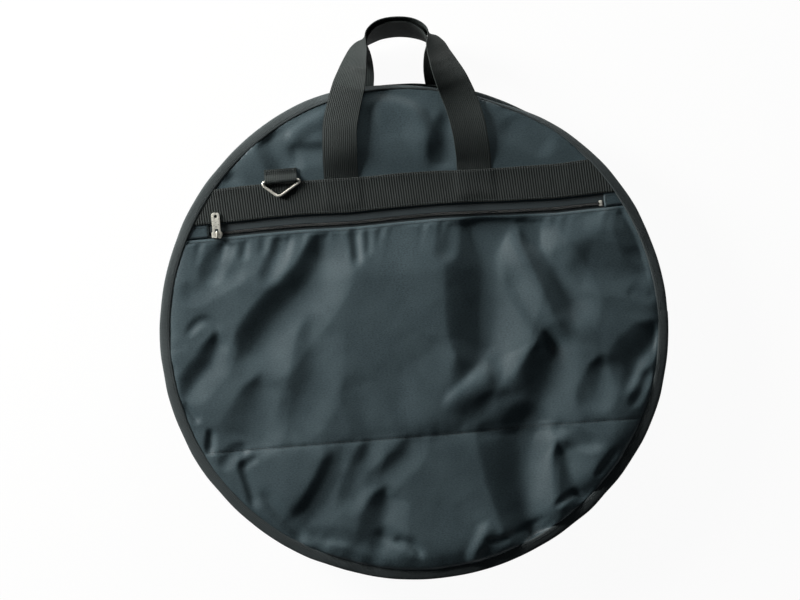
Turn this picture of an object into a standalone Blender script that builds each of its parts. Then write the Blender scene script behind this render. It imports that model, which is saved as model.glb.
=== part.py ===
"""Cymbal bag: a flat round soft case with a zipped front pocket and webbing handles.

Metres, +Z out of the front, +Y towards the handles. The origin is the centre
of the back panel's resting face.
"""

import math

import bmesh
import bpy
from mathutils import Matrix, Vector, geometry

# Driving sizes of the case
SEAM_RADIUS = 0.284
BINDING_WIDTH = 0.011
CASE_DEPTH = 0.052
BACK_FLANGE_LIFT = 0.0022
CLOTH = 0.0006
BACK_PANEL_THICKNESS = 0.003
PADDING = 0.005
POCKET_SPACE = 0.003
GAP = 0.0003
SIDE_GAP = 0.001
EDGE_INSET = 0.003
CUT_OVERRUN = 0.01
RIM_SLOPE = 0.0042
ROUND_STEPS = 96
QUARTER_STEPS = ROUND_STEPS // 4
MERGE_SHARE = 0.25
MERGE_DISTANCE = 0.00001

# Front layout: each line keeps its distance from the seam circle's top, foot or side
SEAM_RISE = 0.162
BAND_DROP = 0.142
ZIP_DROP = 0.012
POCKET_HEM_DROP = 0.006
TOP_PANEL_LAP = 0.001
ZIP_LEFT_INSET = 0.0335
ZIP_RIGHT_INSET = 0.0275

# Slack of the front cloth over its flat level, and the folds that fall in it
CROWN = 0.0052
SEAM_CROWN_SHARE = 0.5
CROWN_RIM_EASE = 0.030
CROWN_HEM_EASE = 0.065
CROWN_SEAM_EASE = 0.016
FOLD_DEPTH = 0.0075
FOLD_END_SHARE = 0.2
SLACK_SPACING = 0.042
SLACK_CLEARANCE = 0.013
POINT_CLEARANCE = 0.0104
FLAT_RIM = 0.0015
BULGE_INSET = 0.012

# Lines of the main creases, in shares of the seam radius, from start to end
LONG_LEFT_SHARES = ((-0.352, 0.437), (-0.366, 0.349), (-0.440, 0.187), (-0.581, 0.056), (-0.782, -0.141))
LONG_RIGHT_SHARES = ((0.320, 0.430), (0.320, 0.324), (0.299, 0.081), (0.268, -0.130), (0.141, -0.303))
TICK_RIDGE_SHARES = ((0.092, -0.338), (0.225, -0.197), (0.292, -0.151), (0.352, -0.246))
HEM_RIDGE_SHARES = ((0.437, 0.437), (0.489, 0.232), (0.570, 0.092), (0.648, 0.014))
RIGHT_EDGE_SHARES = ((0.754, -0.007), (0.873, -0.053), (0.951, -0.070))
FOOT_RIGHT_SHARES = ((0.539, -0.085), (0.528, -0.211), (0.437, -0.401))
FOOT_LEFT_SHARES = ((-0.637, -0.130), (-0.690, -0.356), (-0.713, -0.425))
LOWER_RIGHT_SHARES = ((0.419, -0.447), (0.394, -0.658), (0.401, -0.880))
LOWER_EDGE_SHARES = ((0.556, -0.535), (0.588, -0.648), (0.634, -0.782))
LOWER_LEFT_SHARES = ((-0.327, -0.514), (-0.440, -0.701), (-0.556, -0.850))
LOWER_MIDDLE_SHARES = ((-0.160, -0.620), (-0.183, -0.739), (-0.215, -0.870))

# For each crease: its line, depth share (less than 0 is a ridge), and its slopes' widths on a walker's right
# and left
POCKET_FOLDS = (
    (LONG_LEFT_SHARES, 0.95, 0.026, 0.044),
    (LONG_RIGHT_SHARES, 1.10, 0.032, 0.042),
    (TICK_RIDGE_SHARES, -0.30, 0.014, 0.012),
    (HEM_RIDGE_SHARES, -0.32, 0.044, 0.026),
    (RIGHT_EDGE_SHARES, 0.70, 0.014, 0.030),
    (FOOT_RIGHT_SHARES, 0.95, 0.026, 0.038),
    (FOOT_LEFT_SHARES, 0.85, 0.026, 0.034),
)
LOWER_FOLDS = (
    (LOWER_RIGHT_SHARES, 1.05, 0.038, 0.022),
    (LOWER_EDGE_SHARES, 0.75, 0.017, 0.024),
    (LOWER_LEFT_SHARES, 0.75, 0.022, 0.020),
    (LOWER_MIDDLE_SHARES, 0.75, 0.018, 0.028),
)

# Webbing and its fittings
WEBBING_WIDTH = 0.040
WEBBING = 0.0016
HANDLE_CENTRE = 0.007
HANDLE_HALF_SPREAD = 0.077
HANDLE_REACH = 0.171
HANDLE_SETBACK = 0.004
HANDLE_ROOT = 0.0005
HANDLE_NEST = 0.0120
HANDLE_STEPS = 54
GRIP_DROP = 0.021
BACK_GRIP_RISE = 0.0235
LEG_RECESS = 0.0022

# Share of the half spread, share of the reach, turn in degrees, share of the grip's shift in level
HANDLE_ROUTE_SHARES = (
    (1.000, 0.000, 0.0, 0.00),
    (0.990, 0.150, 0.0, 0.00),
    (0.960, 0.320, 0.0, 0.00),
    (0.860, 0.500, 0.0, 0.00),
    (0.690, 0.745, 0.0, 0.00),
    (0.640, 0.805, 42.0, 0.46),
    (0.590, 0.865, 66.0, 0.75),
    (0.520, 0.920, 90.0, 0.92),
    (0.310, 0.975, 106.0, 1.00),
    (0.000, 1.000, 110.0, 1.00),
)
LAST_FLAT_SHARES = HANDLE_ROUTE_SHARES[4]
CREASE_SHARES = HANDLE_ROUTE_SHARES[7]

TAB_CENTRE = -0.140
TAB_WIDTH = 0.034
TAB_WEBBING = 0.0012
TAB_LENGTH = 0.0175
TAB_FOLD_STEPS = 12
RING_WIRE = 0.0032
RING_BAR_OFFSET = 0.004
RING_HALF_WIDTH = 0.021
RING_SHOULDER = 0.0045
RING_REACH = 0.019
RING_CORNER = 0.003
RING_BEND_SHARES = (0.0, 0.33, 0.67, 1.0)
RUN_CLEARANCE = 0.0003

# Zips: the same section serves the pocket and the main opening
TAPE_WIDTH = 0.020
COIL_HEIGHT = 0.0018
COIL_WIDTH = 0.0014
COIL_SPLIT = 0.0012
MAIN_TAPE_WIDTH = 0.014
MAIN_ZIP_CLEAR = 0.0065
STOP_LENGTH = 0.004
STOP_OVERHANG = 0.0012
END_TAB_LENGTH = 0.018
END_TAB_HALF_HEIGHT = 0.008
END_TAB_THICKNESS = 0.001

# Slider and pull
SLIDER_LENGTH = 0.0125
SLIDER_WIDTH = 0.0092
SLIDER_NOSE_SHARE = 0.72
PLATE = 0.0010
TOP_PLATE = 0.0012
SLIDER_CLEAR = 0.0005
SPINE = 0.0006
SPINE_LENGTH = 0.005
FLANGE = 0.0008
TAPE_SLOT = 0.0004
BRIDGE_HALF = 0.0036
BRIDGE_HEIGHT = 0.0033
BRIDGE_WIRE = 0.0007
BRIDGE_CORNER = 0.0008
PIVOT_HEIGHT = 0.0016
PULL_LENGTH = 0.0255
PULL_WIDTH = 0.0095
PULL_THICKNESS = 0.0012
PULL_BAR_HALF = 0.0006
PULL_WINDOW_LENGTH = 0.0058
PULL_WINDOW_WIDTH = 0.0042
PULL_HOLE_RADIUS = 0.0019
PULL_HOLE_INSET = 0.0045
PULL_CORNER_STEPS = 6
MAIN_SLIDER_ANGLES = {"left": 50.0, "right": 43.5}

# Levels, worked out upwards from the resting face
TOP = CASE_DEPTH
SHEET_TOP = TOP - CLOTH - GAP
POCKET_TAPE_TOP = SHEET_TOP - CLOTH - GAP
BACKING_TOP = SHEET_TOP - CLOTH - POCKET_SPACE
FRONT_PADDING_TOP = BACKING_TOP - CLOTH - GAP
FRONT_LINING_TOP = FRONT_PADDING_TOP - PADDING - GAP
FLANGE_STACK = 2 * CLOTH + 3 * GAP
BINDING_DEPTH = FLANGE_STACK + 2 * CLOTH
FRONT_FLANGE_TOP = SHEET_TOP - CLOTH - GAP
BACK_RIM = BACK_FLANGE_LIFT + CLOTH + GAP
BACK_GUSSET_FLANGE = BACK_RIM + CLOTH + GAP
BACK_PADDING_BOTTOM = BACK_PANEL_THICKNESS + GAP
BACK_LINING_BOTTOM = BACK_PADDING_BOTTOM + PADDING + GAP
MAIN_ZIP_LEVEL = (BACK_GUSSET_FLANGE + FRONT_FLANGE_TOP) / 2

# Radii and heights across the disc
SEAM_HEIGHT = SEAM_RISE - SEAM_RADIUS
BAND_BOTTOM = SEAM_RADIUS - BAND_DROP
ZIP_LINE = BAND_BOTTOM - ZIP_DROP
ZIP_HALF_CHORD = math.sqrt(SEAM_RADIUS ** 2 - ZIP_LINE ** 2)
ZIP_LEFT = ZIP_LEFT_INSET - ZIP_HALF_CHORD
ZIP_RIGHT = ZIP_HALF_CHORD - ZIP_RIGHT_INSET
OUTER_RADIUS = SEAM_RADIUS + BINDING_WIDTH
SHEET_RADIUS = OUTER_RADIUS - EDGE_INSET
WALL_OUTER = SEAM_RADIUS - SIDE_GAP
WALL_INNER = WALL_OUTER - CLOTH
INNER_RADIUS = WALL_INNER - CLOTH - 2 * SIDE_GAP
TAPE_OUTER = WALL_INNER - GAP
TAPE_MIDDLE = TAPE_OUTER - CLOTH / 2
BAND_TOP = BAND_BOTTOM + WEBBING_WIDTH
BAND_RADIUS = SEAM_RADIUS - SIDE_GAP / 2
FRONT_BAND_BASE = SHEET_TOP + GAP
HINGE_HEIGHT = BAND_TOP + HANDLE_SETBACK
FRONT_LEG_LEVEL = TOP + GAP + WEBBING / 2
BACK_LEG_LEVEL = GAP + WEBBING / 2
RING_BAR_HEIGHT = BAND_TOP + RING_BAR_OFFSET
RING_BAR_LEVEL = FRONT_BAND_BASE + WEBBING + GAP + RING_WIRE / 2
COIL_REACH = COIL_SPLIT / 2 + COIL_WIDTH
PIVOT_LEVEL = COIL_HEIGHT / 2 + SLIDER_CLEAR + TOP_PLATE + PIVOT_HEIGHT

COLLECTION = bpy.data.collections.new("cymbal_bag")
CUTTERS = bpy.data.collections.new("cymbal_bag_cutters")


def clear_scene():
    """Remove what the file held and link the two collections."""
    for thing in list(bpy.data.objects):
        bpy.data.objects.remove(thing, do_unlink=True)
    bpy.context.scene.collection.children.link(COLLECTION)
    bpy.context.scene.collection.children.link(CUTTERS)


def finish_material(thing, color, roughness, metallic=0.0):
    """Give an object its own material."""
    material = bpy.data.materials.new(thing.name + "_finish")
    material.use_nodes = True
    shader = material.node_tree.nodes["Principled BSDF"]
    shader.inputs["Base Color"].default_value = (*color, 1.0)
    shader.inputs["Roughness"].default_value = roughness
    shader.inputs["Metallic"].default_value = metallic
    thing.data.materials.clear()
    thing.data.materials.append(material)


FINISHES = {
    "cloth": ((0.050, 0.078, 0.083), 0.55, 0.0),
    "webbing": ((0.016, 0.021, 0.021), 0.75, 0.0),
    "binding": ((0.022, 0.030, 0.032), 0.60, 0.0),
    "lining": ((0.020, 0.021, 0.022), 0.70, 0.0),
    "foam": ((0.110, 0.110, 0.115), 0.95, 0.0),
    "tape": ((0.012, 0.014, 0.015), 0.80, 0.0),
    "coil": ((0.010, 0.011, 0.012), 0.40, 0.0),
    "nickel": ((0.560, 0.570, 0.540), 0.30, 1.0),
}


def add_part(name, data, finish):
    """Make a node from mesh or curve data."""
    part = bpy.data.objects.new(name, data)
    COLLECTION.objects.link(part)
    finish_material(part, *FINISHES[finish])
    return part


def make_cutter(part):
    """Turn an object into a guide that only cuts or joins."""
    COLLECTION.objects.unlink(part)
    CUTTERS.objects.link(part)
    part.hide_render = True
    part.display_type = "WIRE"
    return part


def combine(part, other, operation):
    """Cut, join or intersect with another closed mesh."""
    step = part.modifiers.new(operation.lower() + "_" + other.name[:20], "BOOLEAN")
    step.operation = operation
    step.solver = "EXACT"
    step.object = other


def turned(name, profile, finish, closed=True):
    """Turn a profile of (radius, level) pairs, outer side first and downwards."""
    mesh = bpy.data.meshes.new(name)
    outline = bmesh.new()
    corners = [outline.verts.new((radius, 0.0, level)) for radius, level in profile]
    for start, end in zip(corners, corners[1:]):
        outline.edges.new((start, end))
    if closed:
        outline.edges.new((corners[-1], corners[0]))
    outline.to_mesh(mesh)
    outline.free()
    part = add_part(name, mesh, finish)
    spin = part.modifiers.new("turn", "SCREW")
    spin.steps = ROUND_STEPS
    spin.render_steps = ROUND_STEPS
    spin.use_merge_vertices = True
    spin.merge_threshold = 0.00001
    return part


def ring_wall(name, inner, outer, low, high, finish):
    """A plain ring with a rectangular section."""
    return turned(name, [(outer, high), (outer, low), (inner, low), (inner, high)], finish)


def flat_outline(name, loops, low, high, finish):
    """A flat plate with the first loop outside and the others as holes, facing +Z."""
    curve = bpy.data.curves.new(name, "CURVE")
    curve.dimensions = "2D"
    curve.fill_mode = "BOTH"
    curve.extrude = (high - low) / 2
    for loop in loops:
        spline = curve.splines.new("POLY")
        spline.points.add(len(loop) - 1)
        for point, (along, across) in zip(spline.points, loop):
            point.co = (along, across, 0.0, 1.0)
        spline.use_cyclic_u = True
    part = add_part(name, curve, finish)
    part.location.z = (high + low) / 2
    return part


def to_mesh(curve_part, finish):
    """Swap a curve object for a welded mesh in the same place."""
    bpy.context.view_layer.update()
    graph = bpy.context.evaluated_depsgraph_get()
    mesh = bpy.data.meshes.new_from_object(curve_part.evaluated_get(graph))
    work = bmesh.new()
    work.from_mesh(mesh)
    bmesh.ops.remove_doubles(work, verts=work.verts, dist=0.000001)
    work.to_mesh(mesh)
    work.free()
    name = curve_part.name
    place = curve_part.matrix_world.copy()
    bpy.data.objects.remove(curve_part, do_unlink=True)
    part = add_part(name, mesh, finish)
    part.matrix_world = place
    return part


def slice_outline(radius, bottom, top, shift_share):
    """The outline of a disc between two heights, in the case's round steps or between them."""
    start = math.asin(max(-1.0, bottom / radius))
    end = math.asin(min(1.0, top / radius))
    step = 2 * math.pi / ROUND_STEPS
    inner = [(k + shift_share) * step for k in range(-QUARTER_STEPS, QUARTER_STEPS + 1)]
    margin = step * MERGE_SHARE
    angles = [start] + [a for a in inner if start + margin < a < end - margin] + [end]
    right = [(radius * math.cos(a), radius * math.sin(a)) for a in angles]
    left = [(-x, y) for x, y in reversed(right)]
    outline = right + left
    return [p for k, p in enumerate(outline) if (Vector(p) - Vector(outline[k - 1])).length > GAP]


def disc_slice(name, radius, bottom, top, low, high, finish, shift_share=0.0):
    """A flat sheet of the disc between two heights."""
    outline = slice_outline(radius, bottom, top, shift_share)
    return flat_outline(name, [outline], low, high, finish)


def box(name, corner_a, corner_b, finish="cloth"):
    """A box between two corners."""
    low, high = Vector(corner_a), Vector(corner_b)
    mesh = bpy.data.meshes.new(name)
    work = bmesh.new()
    place = Matrix.Translation((low + high) / 2) @ Matrix.Diagonal((*(high - low), 1.0))
    bmesh.ops.create_cube(work, size=1.0, matrix=place)
    work.to_mesh(mesh)
    work.free()
    return add_part(name, mesh, finish)


def seam_cutters():
    """Two blocks that part the turned pieces along the sewn line."""
    reach = OUTER_RADIUS + CUT_OVERRUN
    low = -CUT_OVERRUN
    high = TOP + CUT_OVERRUN
    above = box("above_seam", (-reach, SEAM_HEIGHT - GAP / 2, low), (reach, reach, high))
    below = box("below_seam", (-reach, -reach, low), (reach, SEAM_HEIGHT + GAP / 2, high))
    return make_cutter(above), make_cutter(below)


def leg_seats():
    """Two blocks that press the seats of the back handle's legs into the back panel."""
    reach_in = WEBBING_WIDTH / 2 + SIDE_GAP
    lean = HANDLE_HALF_SPREAD * (1 - LAST_FLAT_SHARES[0])
    seats = []
    for side, sign in (("left", -1), ("right", 1)):
        centre = HANDLE_CENTRE + sign * (HANDLE_HALF_SPREAD - HANDLE_NEST)
        inward = -sign * lean
        left = centre - reach_in + min(0.0, inward)
        right = centre + reach_in + max(0.0, inward)
        low_corner = (left, BAND_TOP, -CUT_OVERRUN)
        seat = box("leg_seat_" + side, low_corner, (right, OUTER_RADIUS, LEG_RECESS))
        seats.append(make_cutter(seat))
    return seats


def back_shell():
    """Back panel with its pressed-in webbing seats, then padding and lining."""
    rim_start = WALL_OUTER - RIM_SLOPE
    rim_top = BACK_RIM + CLOTH
    profile = [
        (0.0, BACK_PANEL_THICKNESS),
        (INNER_RADIUS, BACK_PANEL_THICKNESS),
        (WALL_INNER, rim_top),
        (SHEET_RADIUS, rim_top),
        (SHEET_RADIUS, BACK_RIM),
        (WALL_OUTER, BACK_RIM),
        (rim_start, 0.0),
        (0.0, 0.0),
    ]
    panel = turned("back_panel", profile, "cloth", closed=False)
    recess_radius = rim_start - SIDE_GAP
    between_spokes = 0.5
    band_seat = disc_slice("band_seat", recess_radius, BAND_BOTTOM - GAP, BAND_TOP + GAP,
                           -CUT_OVERRUN, LEG_RECESS, "cloth", between_spokes)
    for seat in [make_cutter(to_mesh(band_seat, "cloth"))] + leg_seats():
        combine(panel, seat, "DIFFERENCE")
    padding = disc_profile(INNER_RADIUS - SIDE_GAP, BACK_PADDING_BOTTOM, PADDING)
    turned("back_padding", padding, "foam", closed=False)
    lining = disc_profile(INNER_RADIUS, BACK_LINING_BOTTOM, CLOTH)
    turned("back_lining", lining, "lining", closed=False)
    disc_slice("back_band", recess_radius - GAP, BAND_BOTTOM, BAND_TOP,
               GAP, GAP + WEBBING, "webbing", between_spokes)


def disc_profile(radius, bottom, thickness):
    """Open profile of a plain disc."""
    top = bottom + thickness
    return [(0.0, top), (radius, top), (radius, bottom), (0.0, bottom)]


def binding_profile(bottom):
    """A folded tape: open inwards, with the sewn edges between its two sides."""
    top = bottom + BINDING_DEPTH
    fold = OUTER_RADIUS - CLOTH
    return [
        (SEAM_RADIUS, top),
        (OUTER_RADIUS, top),
        (OUTER_RADIUS, bottom),
        (SEAM_RADIUS, bottom),
        (SEAM_RADIUS, bottom + CLOTH),
        (fold, bottom + CLOTH),
        (fold, top - CLOTH),
        (SEAM_RADIUS, top - CLOTH),
    ]


def bindings(above, below):
    """The bound edges at the back and the front."""
    turned("back_binding", binding_profile(BACK_FLANGE_LIFT), "binding")
    lower = turned("front_binding_lower", binding_profile(TOP - BINDING_DEPTH), "binding")
    combine(lower, above, "DIFFERENCE")
    upper = turned("front_binding_upper", binding_profile(TOP - BINDING_DEPTH), "binding")
    combine(upper, below, "DIFFERENCE")


def gusset(above, below):
    """The side wall: one full-depth lower part and two strips beside the main zip."""
    front_low = FRONT_FLANGE_TOP - CLOTH
    back_high = BACK_GUSSET_FLANGE + CLOTH
    full = [
        (SHEET_RADIUS, FRONT_FLANGE_TOP),
        (SHEET_RADIUS, front_low),
        (WALL_OUTER, front_low),
        (WALL_OUTER, back_high),
        (SHEET_RADIUS, back_high),
        (SHEET_RADIUS, BACK_GUSSET_FLANGE),
        (WALL_INNER, BACK_GUSSET_FLANGE),
        (WALL_INNER, FRONT_FLANGE_TOP),
    ]
    lower = turned("gusset_bottom", full, "cloth")
    combine(lower, above, "DIFFERENCE")
    zip_low = MAIN_ZIP_LEVEL - MAIN_ZIP_CLEAR
    rear = [
        (WALL_OUTER, zip_low),
        (WALL_OUTER, back_high),
        (SHEET_RADIUS, back_high),
        (SHEET_RADIUS, BACK_GUSSET_FLANGE),
        (WALL_INNER, BACK_GUSSET_FLANGE),
        (WALL_INNER, zip_low),
    ]
    rear_strip = turned("gusset_rear_strip", rear, "cloth")
    combine(rear_strip, below, "DIFFERENCE")
    zip_high = MAIN_ZIP_LEVEL + MAIN_ZIP_CLEAR
    front = [
        (SHEET_RADIUS, FRONT_FLANGE_TOP),
        (SHEET_RADIUS, front_low),
        (WALL_OUTER, front_low),
        (WALL_OUTER, zip_high),
        (WALL_INNER, zip_high),
        (WALL_INNER, FRONT_FLANGE_TOP),
    ]
    front_strip = turned("gusset_front_strip", front, "cloth")
    combine(front_strip, below, "DIFFERENCE")


def main_zip(below):
    """Tapes and coils round the upper edge, and the tabs over their ends."""
    coil_inner = TAPE_MIDDLE - COIL_HEIGHT / 2
    coil_outer = TAPE_MIDDLE + COIL_HEIGHT / 2
    tape_inner = TAPE_OUTER - CLOTH
    for side, sign in (("rear", -1), ("front", 1)):
        near = MAIN_ZIP_LEVEL + sign * COIL_SPLIT / 2
        far = MAIN_ZIP_LEVEL + sign * COIL_REACH
        coil = ring_wall("main_zip_coil_" + side, coil_inner, coil_outer,
                         min(near, far), max(near, far), "coil")
        combine(coil, below, "DIFFERENCE")
        tape_near = far + sign * GAP
        tape_far = far + sign * MAIN_TAPE_WIDTH
        tape = ring_wall("main_zip_tape_" + side, tape_inner, TAPE_OUTER,
                         min(tape_near, tape_far), max(tape_near, tape_far), "tape")
        combine(tape, below, "DIFFERENCE")
    low = MAIN_ZIP_LEVEL - END_TAB_HALF_HEIGHT
    high = MAIN_ZIP_LEVEL + END_TAB_HALF_HEIGHT
    top = SEAM_HEIGHT - GAP
    for side, sign in (("left", -1), ("right", 1)):
        inner = WALL_OUTER + GAP
        tab = ring_wall("zip_end_tab_" + side, inner, inner + END_TAB_THICKNESS, low, high, "binding")
        near_centre = sign * SEAM_RADIUS / 2
        far_out = sign * (OUTER_RADIUS + CUT_OVERRUN)
        block = box("end_tab_block_" + side,
                    (min(near_centre, far_out), top - END_TAB_LENGTH, low - CUT_OVERRUN),
                    (max(near_centre, far_out), top, high + CUT_OVERRUN))
        combine(tab, make_cutter(block), "INTERSECT")


def eased(distance, length):
    """0 at a distance of 0, 1 at the length and beyond, with a smooth turn between."""
    share = min(1.0, max(0.0, distance / length))
    return share * share * (3 - 2 * share)


def beside_line(point, line):
    """Distance to a line, whether the point is on a walker's left, and the share of the way along."""
    total = sum((b - a).length for a, b in zip(line, line[1:]))
    best = None
    walked = 0.0
    for a, b in zip(line, line[1:]):
        run = b - a
        along = min(1.0, max(0.0, (point - a).dot(run) / run.length_squared))
        away = (point - a - run * along).length
        if best is None or away < best[0]:
            left = run.x * (point.y - a.y) - run.y * (point.x - a.x) > 0
            best = (away, left, (walked + run.length * along) / total)
        walked += run.length
    return best


def fold_drop(point, fold):
    """How far one fold lowers the cloth at a point."""
    shares, depth, right, left = fold
    line = [Vector(pair) * SEAM_RADIUS for pair in shares]
    away, on_left, along = beside_line(point, line)
    reach = left if on_left else right
    ends = min(1.0, along / FOLD_END_SHARE, (1.0 - along) / FOLD_END_SHARE)
    return FOLD_DEPTH * depth * ends * (1.0 - eased(away, reach))


def slack_rise(point, folds):
    """How far the slack cloth stands over its flat level at a point."""
    rim = eased(SEAM_RADIUS - FLAT_RIM - point.length, CROWN_RIM_EASE)
    hem = eased(ZIP_LINE - COIL_REACH - TAPE_WIDTH - point.y, CROWN_HEM_EASE)
    near_seam = abs(point.y - SEAM_HEIGHT)
    at_seam = eased(near_seam, CROWN_SEAM_EASE)
    seam = at_seam * (SEAM_CROWN_SHARE + (1 - SEAM_CROWN_SHARE) * eased(near_seam, CROWN_HEM_EASE))
    drop = sum(fold_drop(point, fold) for fold in folds)
    return max(0.0, CROWN - drop) * rim * hem * seam


def fold_points(folds):
    """Points on each fold's line and on the outer edges of its two slopes."""
    points = []
    for shares, _, right, left in folds:
        line = [Vector(pair) * SEAM_RADIUS for pair in shares]
        middles = [(a + b) / 2 for a, b in zip(line, line[1:])]
        along = [p for pair in zip(line, middles) for p in pair] + [line[-1]]
        for k, point in enumerate(along):
            run = (along[min(k + 1, len(along) - 1)] - along[max(k - 1, 0)]).normalized()
            side = Vector((-run.y, run.x))
            points += [point, point + side * left, point - side * right]
    return points


def ring_points(radius, low, high):
    """Points round a circle, between two heights."""
    steps = [2 * math.pi * k / ROUND_STEPS for k in range(ROUND_STEPS)]
    circle = [Vector((radius * math.cos(a), radius * math.sin(a))) for a in steps]
    return [p for p in circle if low < p.y < high]


def grid_points(low, high):
    """Points of an even triangular grid, between two heights."""
    rise = SLACK_SPACING * math.sqrt(0.75)
    rows = int((high - low) / rise)
    reach = int(SEAM_RADIUS / SLACK_SPACING)
    points = []
    for row in range(rows + 1):
        shift = (row % 2) / 2
        y = low + row * rise
        points += [Vector(((k + shift) * SLACK_SPACING, y)) for k in range(-reach, reach + 1)]
    return points


def slack_points(outline, folds):
    """The flat places of a slack sheet's corners: its edge, its flat rim, its folds and an even grid."""
    bottom = min(y for _, y in outline)
    top = max(y for _, y in outline)
    low = bottom + SLACK_CLEARANCE
    high = top - SLACK_CLEARANCE
    kept = [Vector(p) for p in outline]
    kept += ring_points(SEAM_RADIUS - FLAT_RIM, bottom + EDGE_INSET, top - EDGE_INSET)
    inside = SEAM_RADIUS - FLAT_RIM - SLACK_CLEARANCE
    bulge = ring_points(SEAM_RADIUS - FLAT_RIM - BULGE_INSET, low, high)
    kept += [p for k, p in enumerate(bulge) if k % 2 == 0]
    for point in fold_points(folds) + grid_points(low, high):
        clear = all((point - other).length > POINT_CLEARANCE for other in kept)
        if clear and point.length < inside and low < point.y < high:
            kept.append(point)
    return kept


def split_straights(outline):
    """Add corners along a slice's straight edges, the outer ones on the flat rim's circle."""
    result = []
    for k, (x, y) in enumerate(outline):
        result.append((x, y))
        next_x, _ = outline[(k + 1) % len(outline)]
        if abs(next_x - x) < SLACK_SPACING:
            continue
        half = math.sqrt((SEAM_RADIUS - FLAT_RIM) ** 2 - y ** 2)
        count = round(2 * half / SLACK_SPACING)
        across = [-half + 2 * half * m / count for m in range(count + 1)]
        result += [(step, y) for step in (across if next_x > x else reversed(across))]
    return result


def rim_edges(places):
    """Pairs of neighbours on the flat rim's circle, which keep the rise inside it."""
    radius = SEAM_RADIUS - FLAT_RIM
    circle = [k for k, p in enumerate(places) if abs(p.length - radius) < MERGE_DISTANCE]
    circle.sort(key=lambda k: math.atan2(places[k].y, places[k].x))
    pairs = zip(circle, circle[1:] + circle[:1])
    return [(a, b) for a, b in pairs if (places[a] - places[b]).length < SLACK_SPACING]


def slack_sheet(name, bottom, top, folds):
    """A sheet of the front that rises from its sewn edges and falls into its main folds."""
    outline = split_straights(slice_outline(SHEET_RADIUS, bottom, top, 0.0))
    flat = slack_points(outline, folds)
    sewn = list(range(len(outline)))
    places, _, faces, _, _, _ = geometry.delaunay_2d_cdt(flat, rim_edges(flat), [sewn], 1, MERGE_DISTANCE)
    mesh = bpy.data.meshes.new(name)
    work = bmesh.new()
    levels = [SHEET_TOP + slack_rise(place, folds) for place in places]
    upper = [work.verts.new((place.x, place.y, level)) for place, level in zip(places, levels)]
    lower = [work.verts.new((place.x, place.y, level - CLOTH)) for place, level in zip(places, levels)]
    for face in faces:
        work.faces.new([upper[k] for k in face])
        work.faces.new([lower[k] for k in reversed(face)])
    rim = [e for e in work.edges if e.is_boundary and e.verts[0] in set(upper)]
    twin = dict(zip(upper, lower))
    for e in rim:
        a, b = e.verts
        work.faces.new([b, a, twin[a], twin[b]])
    bmesh.ops.recalc_face_normals(work, faces=work.faces)
    work.to_mesh(mesh)
    work.free()
    add_part(name, mesh, "cloth")


def front_sheets():
    """Every layer of the front, below and above the sewn line."""
    low_edge = SEAM_HEIGHT - GAP / 2
    high_edge = SEAM_HEIGHT + GAP / 2
    full = SHEET_RADIUS
    sheet_low = SHEET_TOP - CLOTH
    slack_sheet("front_lower_panel", -full, low_edge, LOWER_FOLDS)
    slack_sheet("pocket_front", high_edge, ZIP_LINE - POCKET_HEM_DROP, POCKET_FOLDS)
    disc_slice("front_top_panel", full, BAND_BOTTOM + TOP_PANEL_LAP, full, sheet_low, SHEET_TOP, "cloth")
    inner = INNER_RADIUS
    disc_slice("pocket_backing", inner, high_edge, inner, BACKING_TOP - CLOTH, BACKING_TOP, "lining")
    pad_low = FRONT_PADDING_TOP - PADDING
    lining_low = FRONT_LINING_TOP - CLOTH
    disc_slice("front_padding", inner, high_edge, inner, pad_low, FRONT_PADDING_TOP, "foam")
    disc_slice("front_lining", inner, high_edge, inner, lining_low, FRONT_LINING_TOP, "lining")
    lower_pad_top = sheet_low - GAP
    disc_slice("front_lower_padding", inner, -inner, low_edge, pad_low, lower_pad_top, "foam")
    disc_slice("front_lower_lining", inner, -inner, low_edge, lining_low, FRONT_LINING_TOP, "lining")
    disc_slice("front_band", BAND_RADIUS, BAND_BOTTOM, BAND_TOP,
               FRONT_BAND_BASE, FRONT_BAND_BASE + WEBBING, "webbing")


def pocket_zip():
    """Tapes, coils and the end stop of the pocket's zip."""
    tape_low = POCKET_TAPE_TOP - CLOTH
    middle = POCKET_TAPE_TOP - CLOTH / 2
    coil_low = middle - COIL_HEIGHT / 2
    coil_high = middle + COIL_HEIGHT / 2
    reach = COIL_REACH + GAP
    upper_base = ZIP_LINE + reach
    lower_top = ZIP_LINE - reach
    disc_slice("pocket_zip_tape_upper", TAPE_OUTER, upper_base, upper_base + TAPE_WIDTH,
               tape_low, POCKET_TAPE_TOP, "tape")
    disc_slice("pocket_zip_tape_lower", TAPE_OUTER, lower_top - TAPE_WIDTH, lower_top,
               tape_low, POCKET_TAPE_TOP, "tape")
    start = ZIP_LEFT - SLIDER_LENGTH / 2
    for side, sign in (("upper", 1), ("lower", -1)):
        near = ZIP_LINE + sign * COIL_SPLIT / 2
        far = ZIP_LINE + sign * COIL_REACH
        box("pocket_zip_coil_" + side, (start, min(near, far), coil_low),
            (ZIP_RIGHT, max(near, far), coil_high), "coil")
    half = COIL_REACH + STOP_OVERHANG
    stop_start = ZIP_RIGHT + GAP
    stop = box("pocket_zip_stop", (stop_start, ZIP_LINE - half, POCKET_TAPE_TOP + GAP),
               (stop_start + STOP_LENGTH, ZIP_LINE + half, coil_high + GAP), "nickel")
    rounding = stop.modifiers.new("soft_edges", "BEVEL")
    rounding.width = GAP
    rounding.segments = 1


def slider_outline():
    """Seen from above, the plate is widest at its nose and tapers to the tail."""
    half = SLIDER_LENGTH / 2
    wide = SLIDER_WIDTH / 2
    slim = wide * SLIDER_NOSE_SHARE
    nose = slim * SLIDER_NOSE_SHARE
    return [
        (-half, -slim), (half * SLIDER_NOSE_SHARE, -wide), (half, -nose),
        (half, nose), (half * SLIDER_NOSE_SHARE, wide), (-half, slim),
    ]


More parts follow.
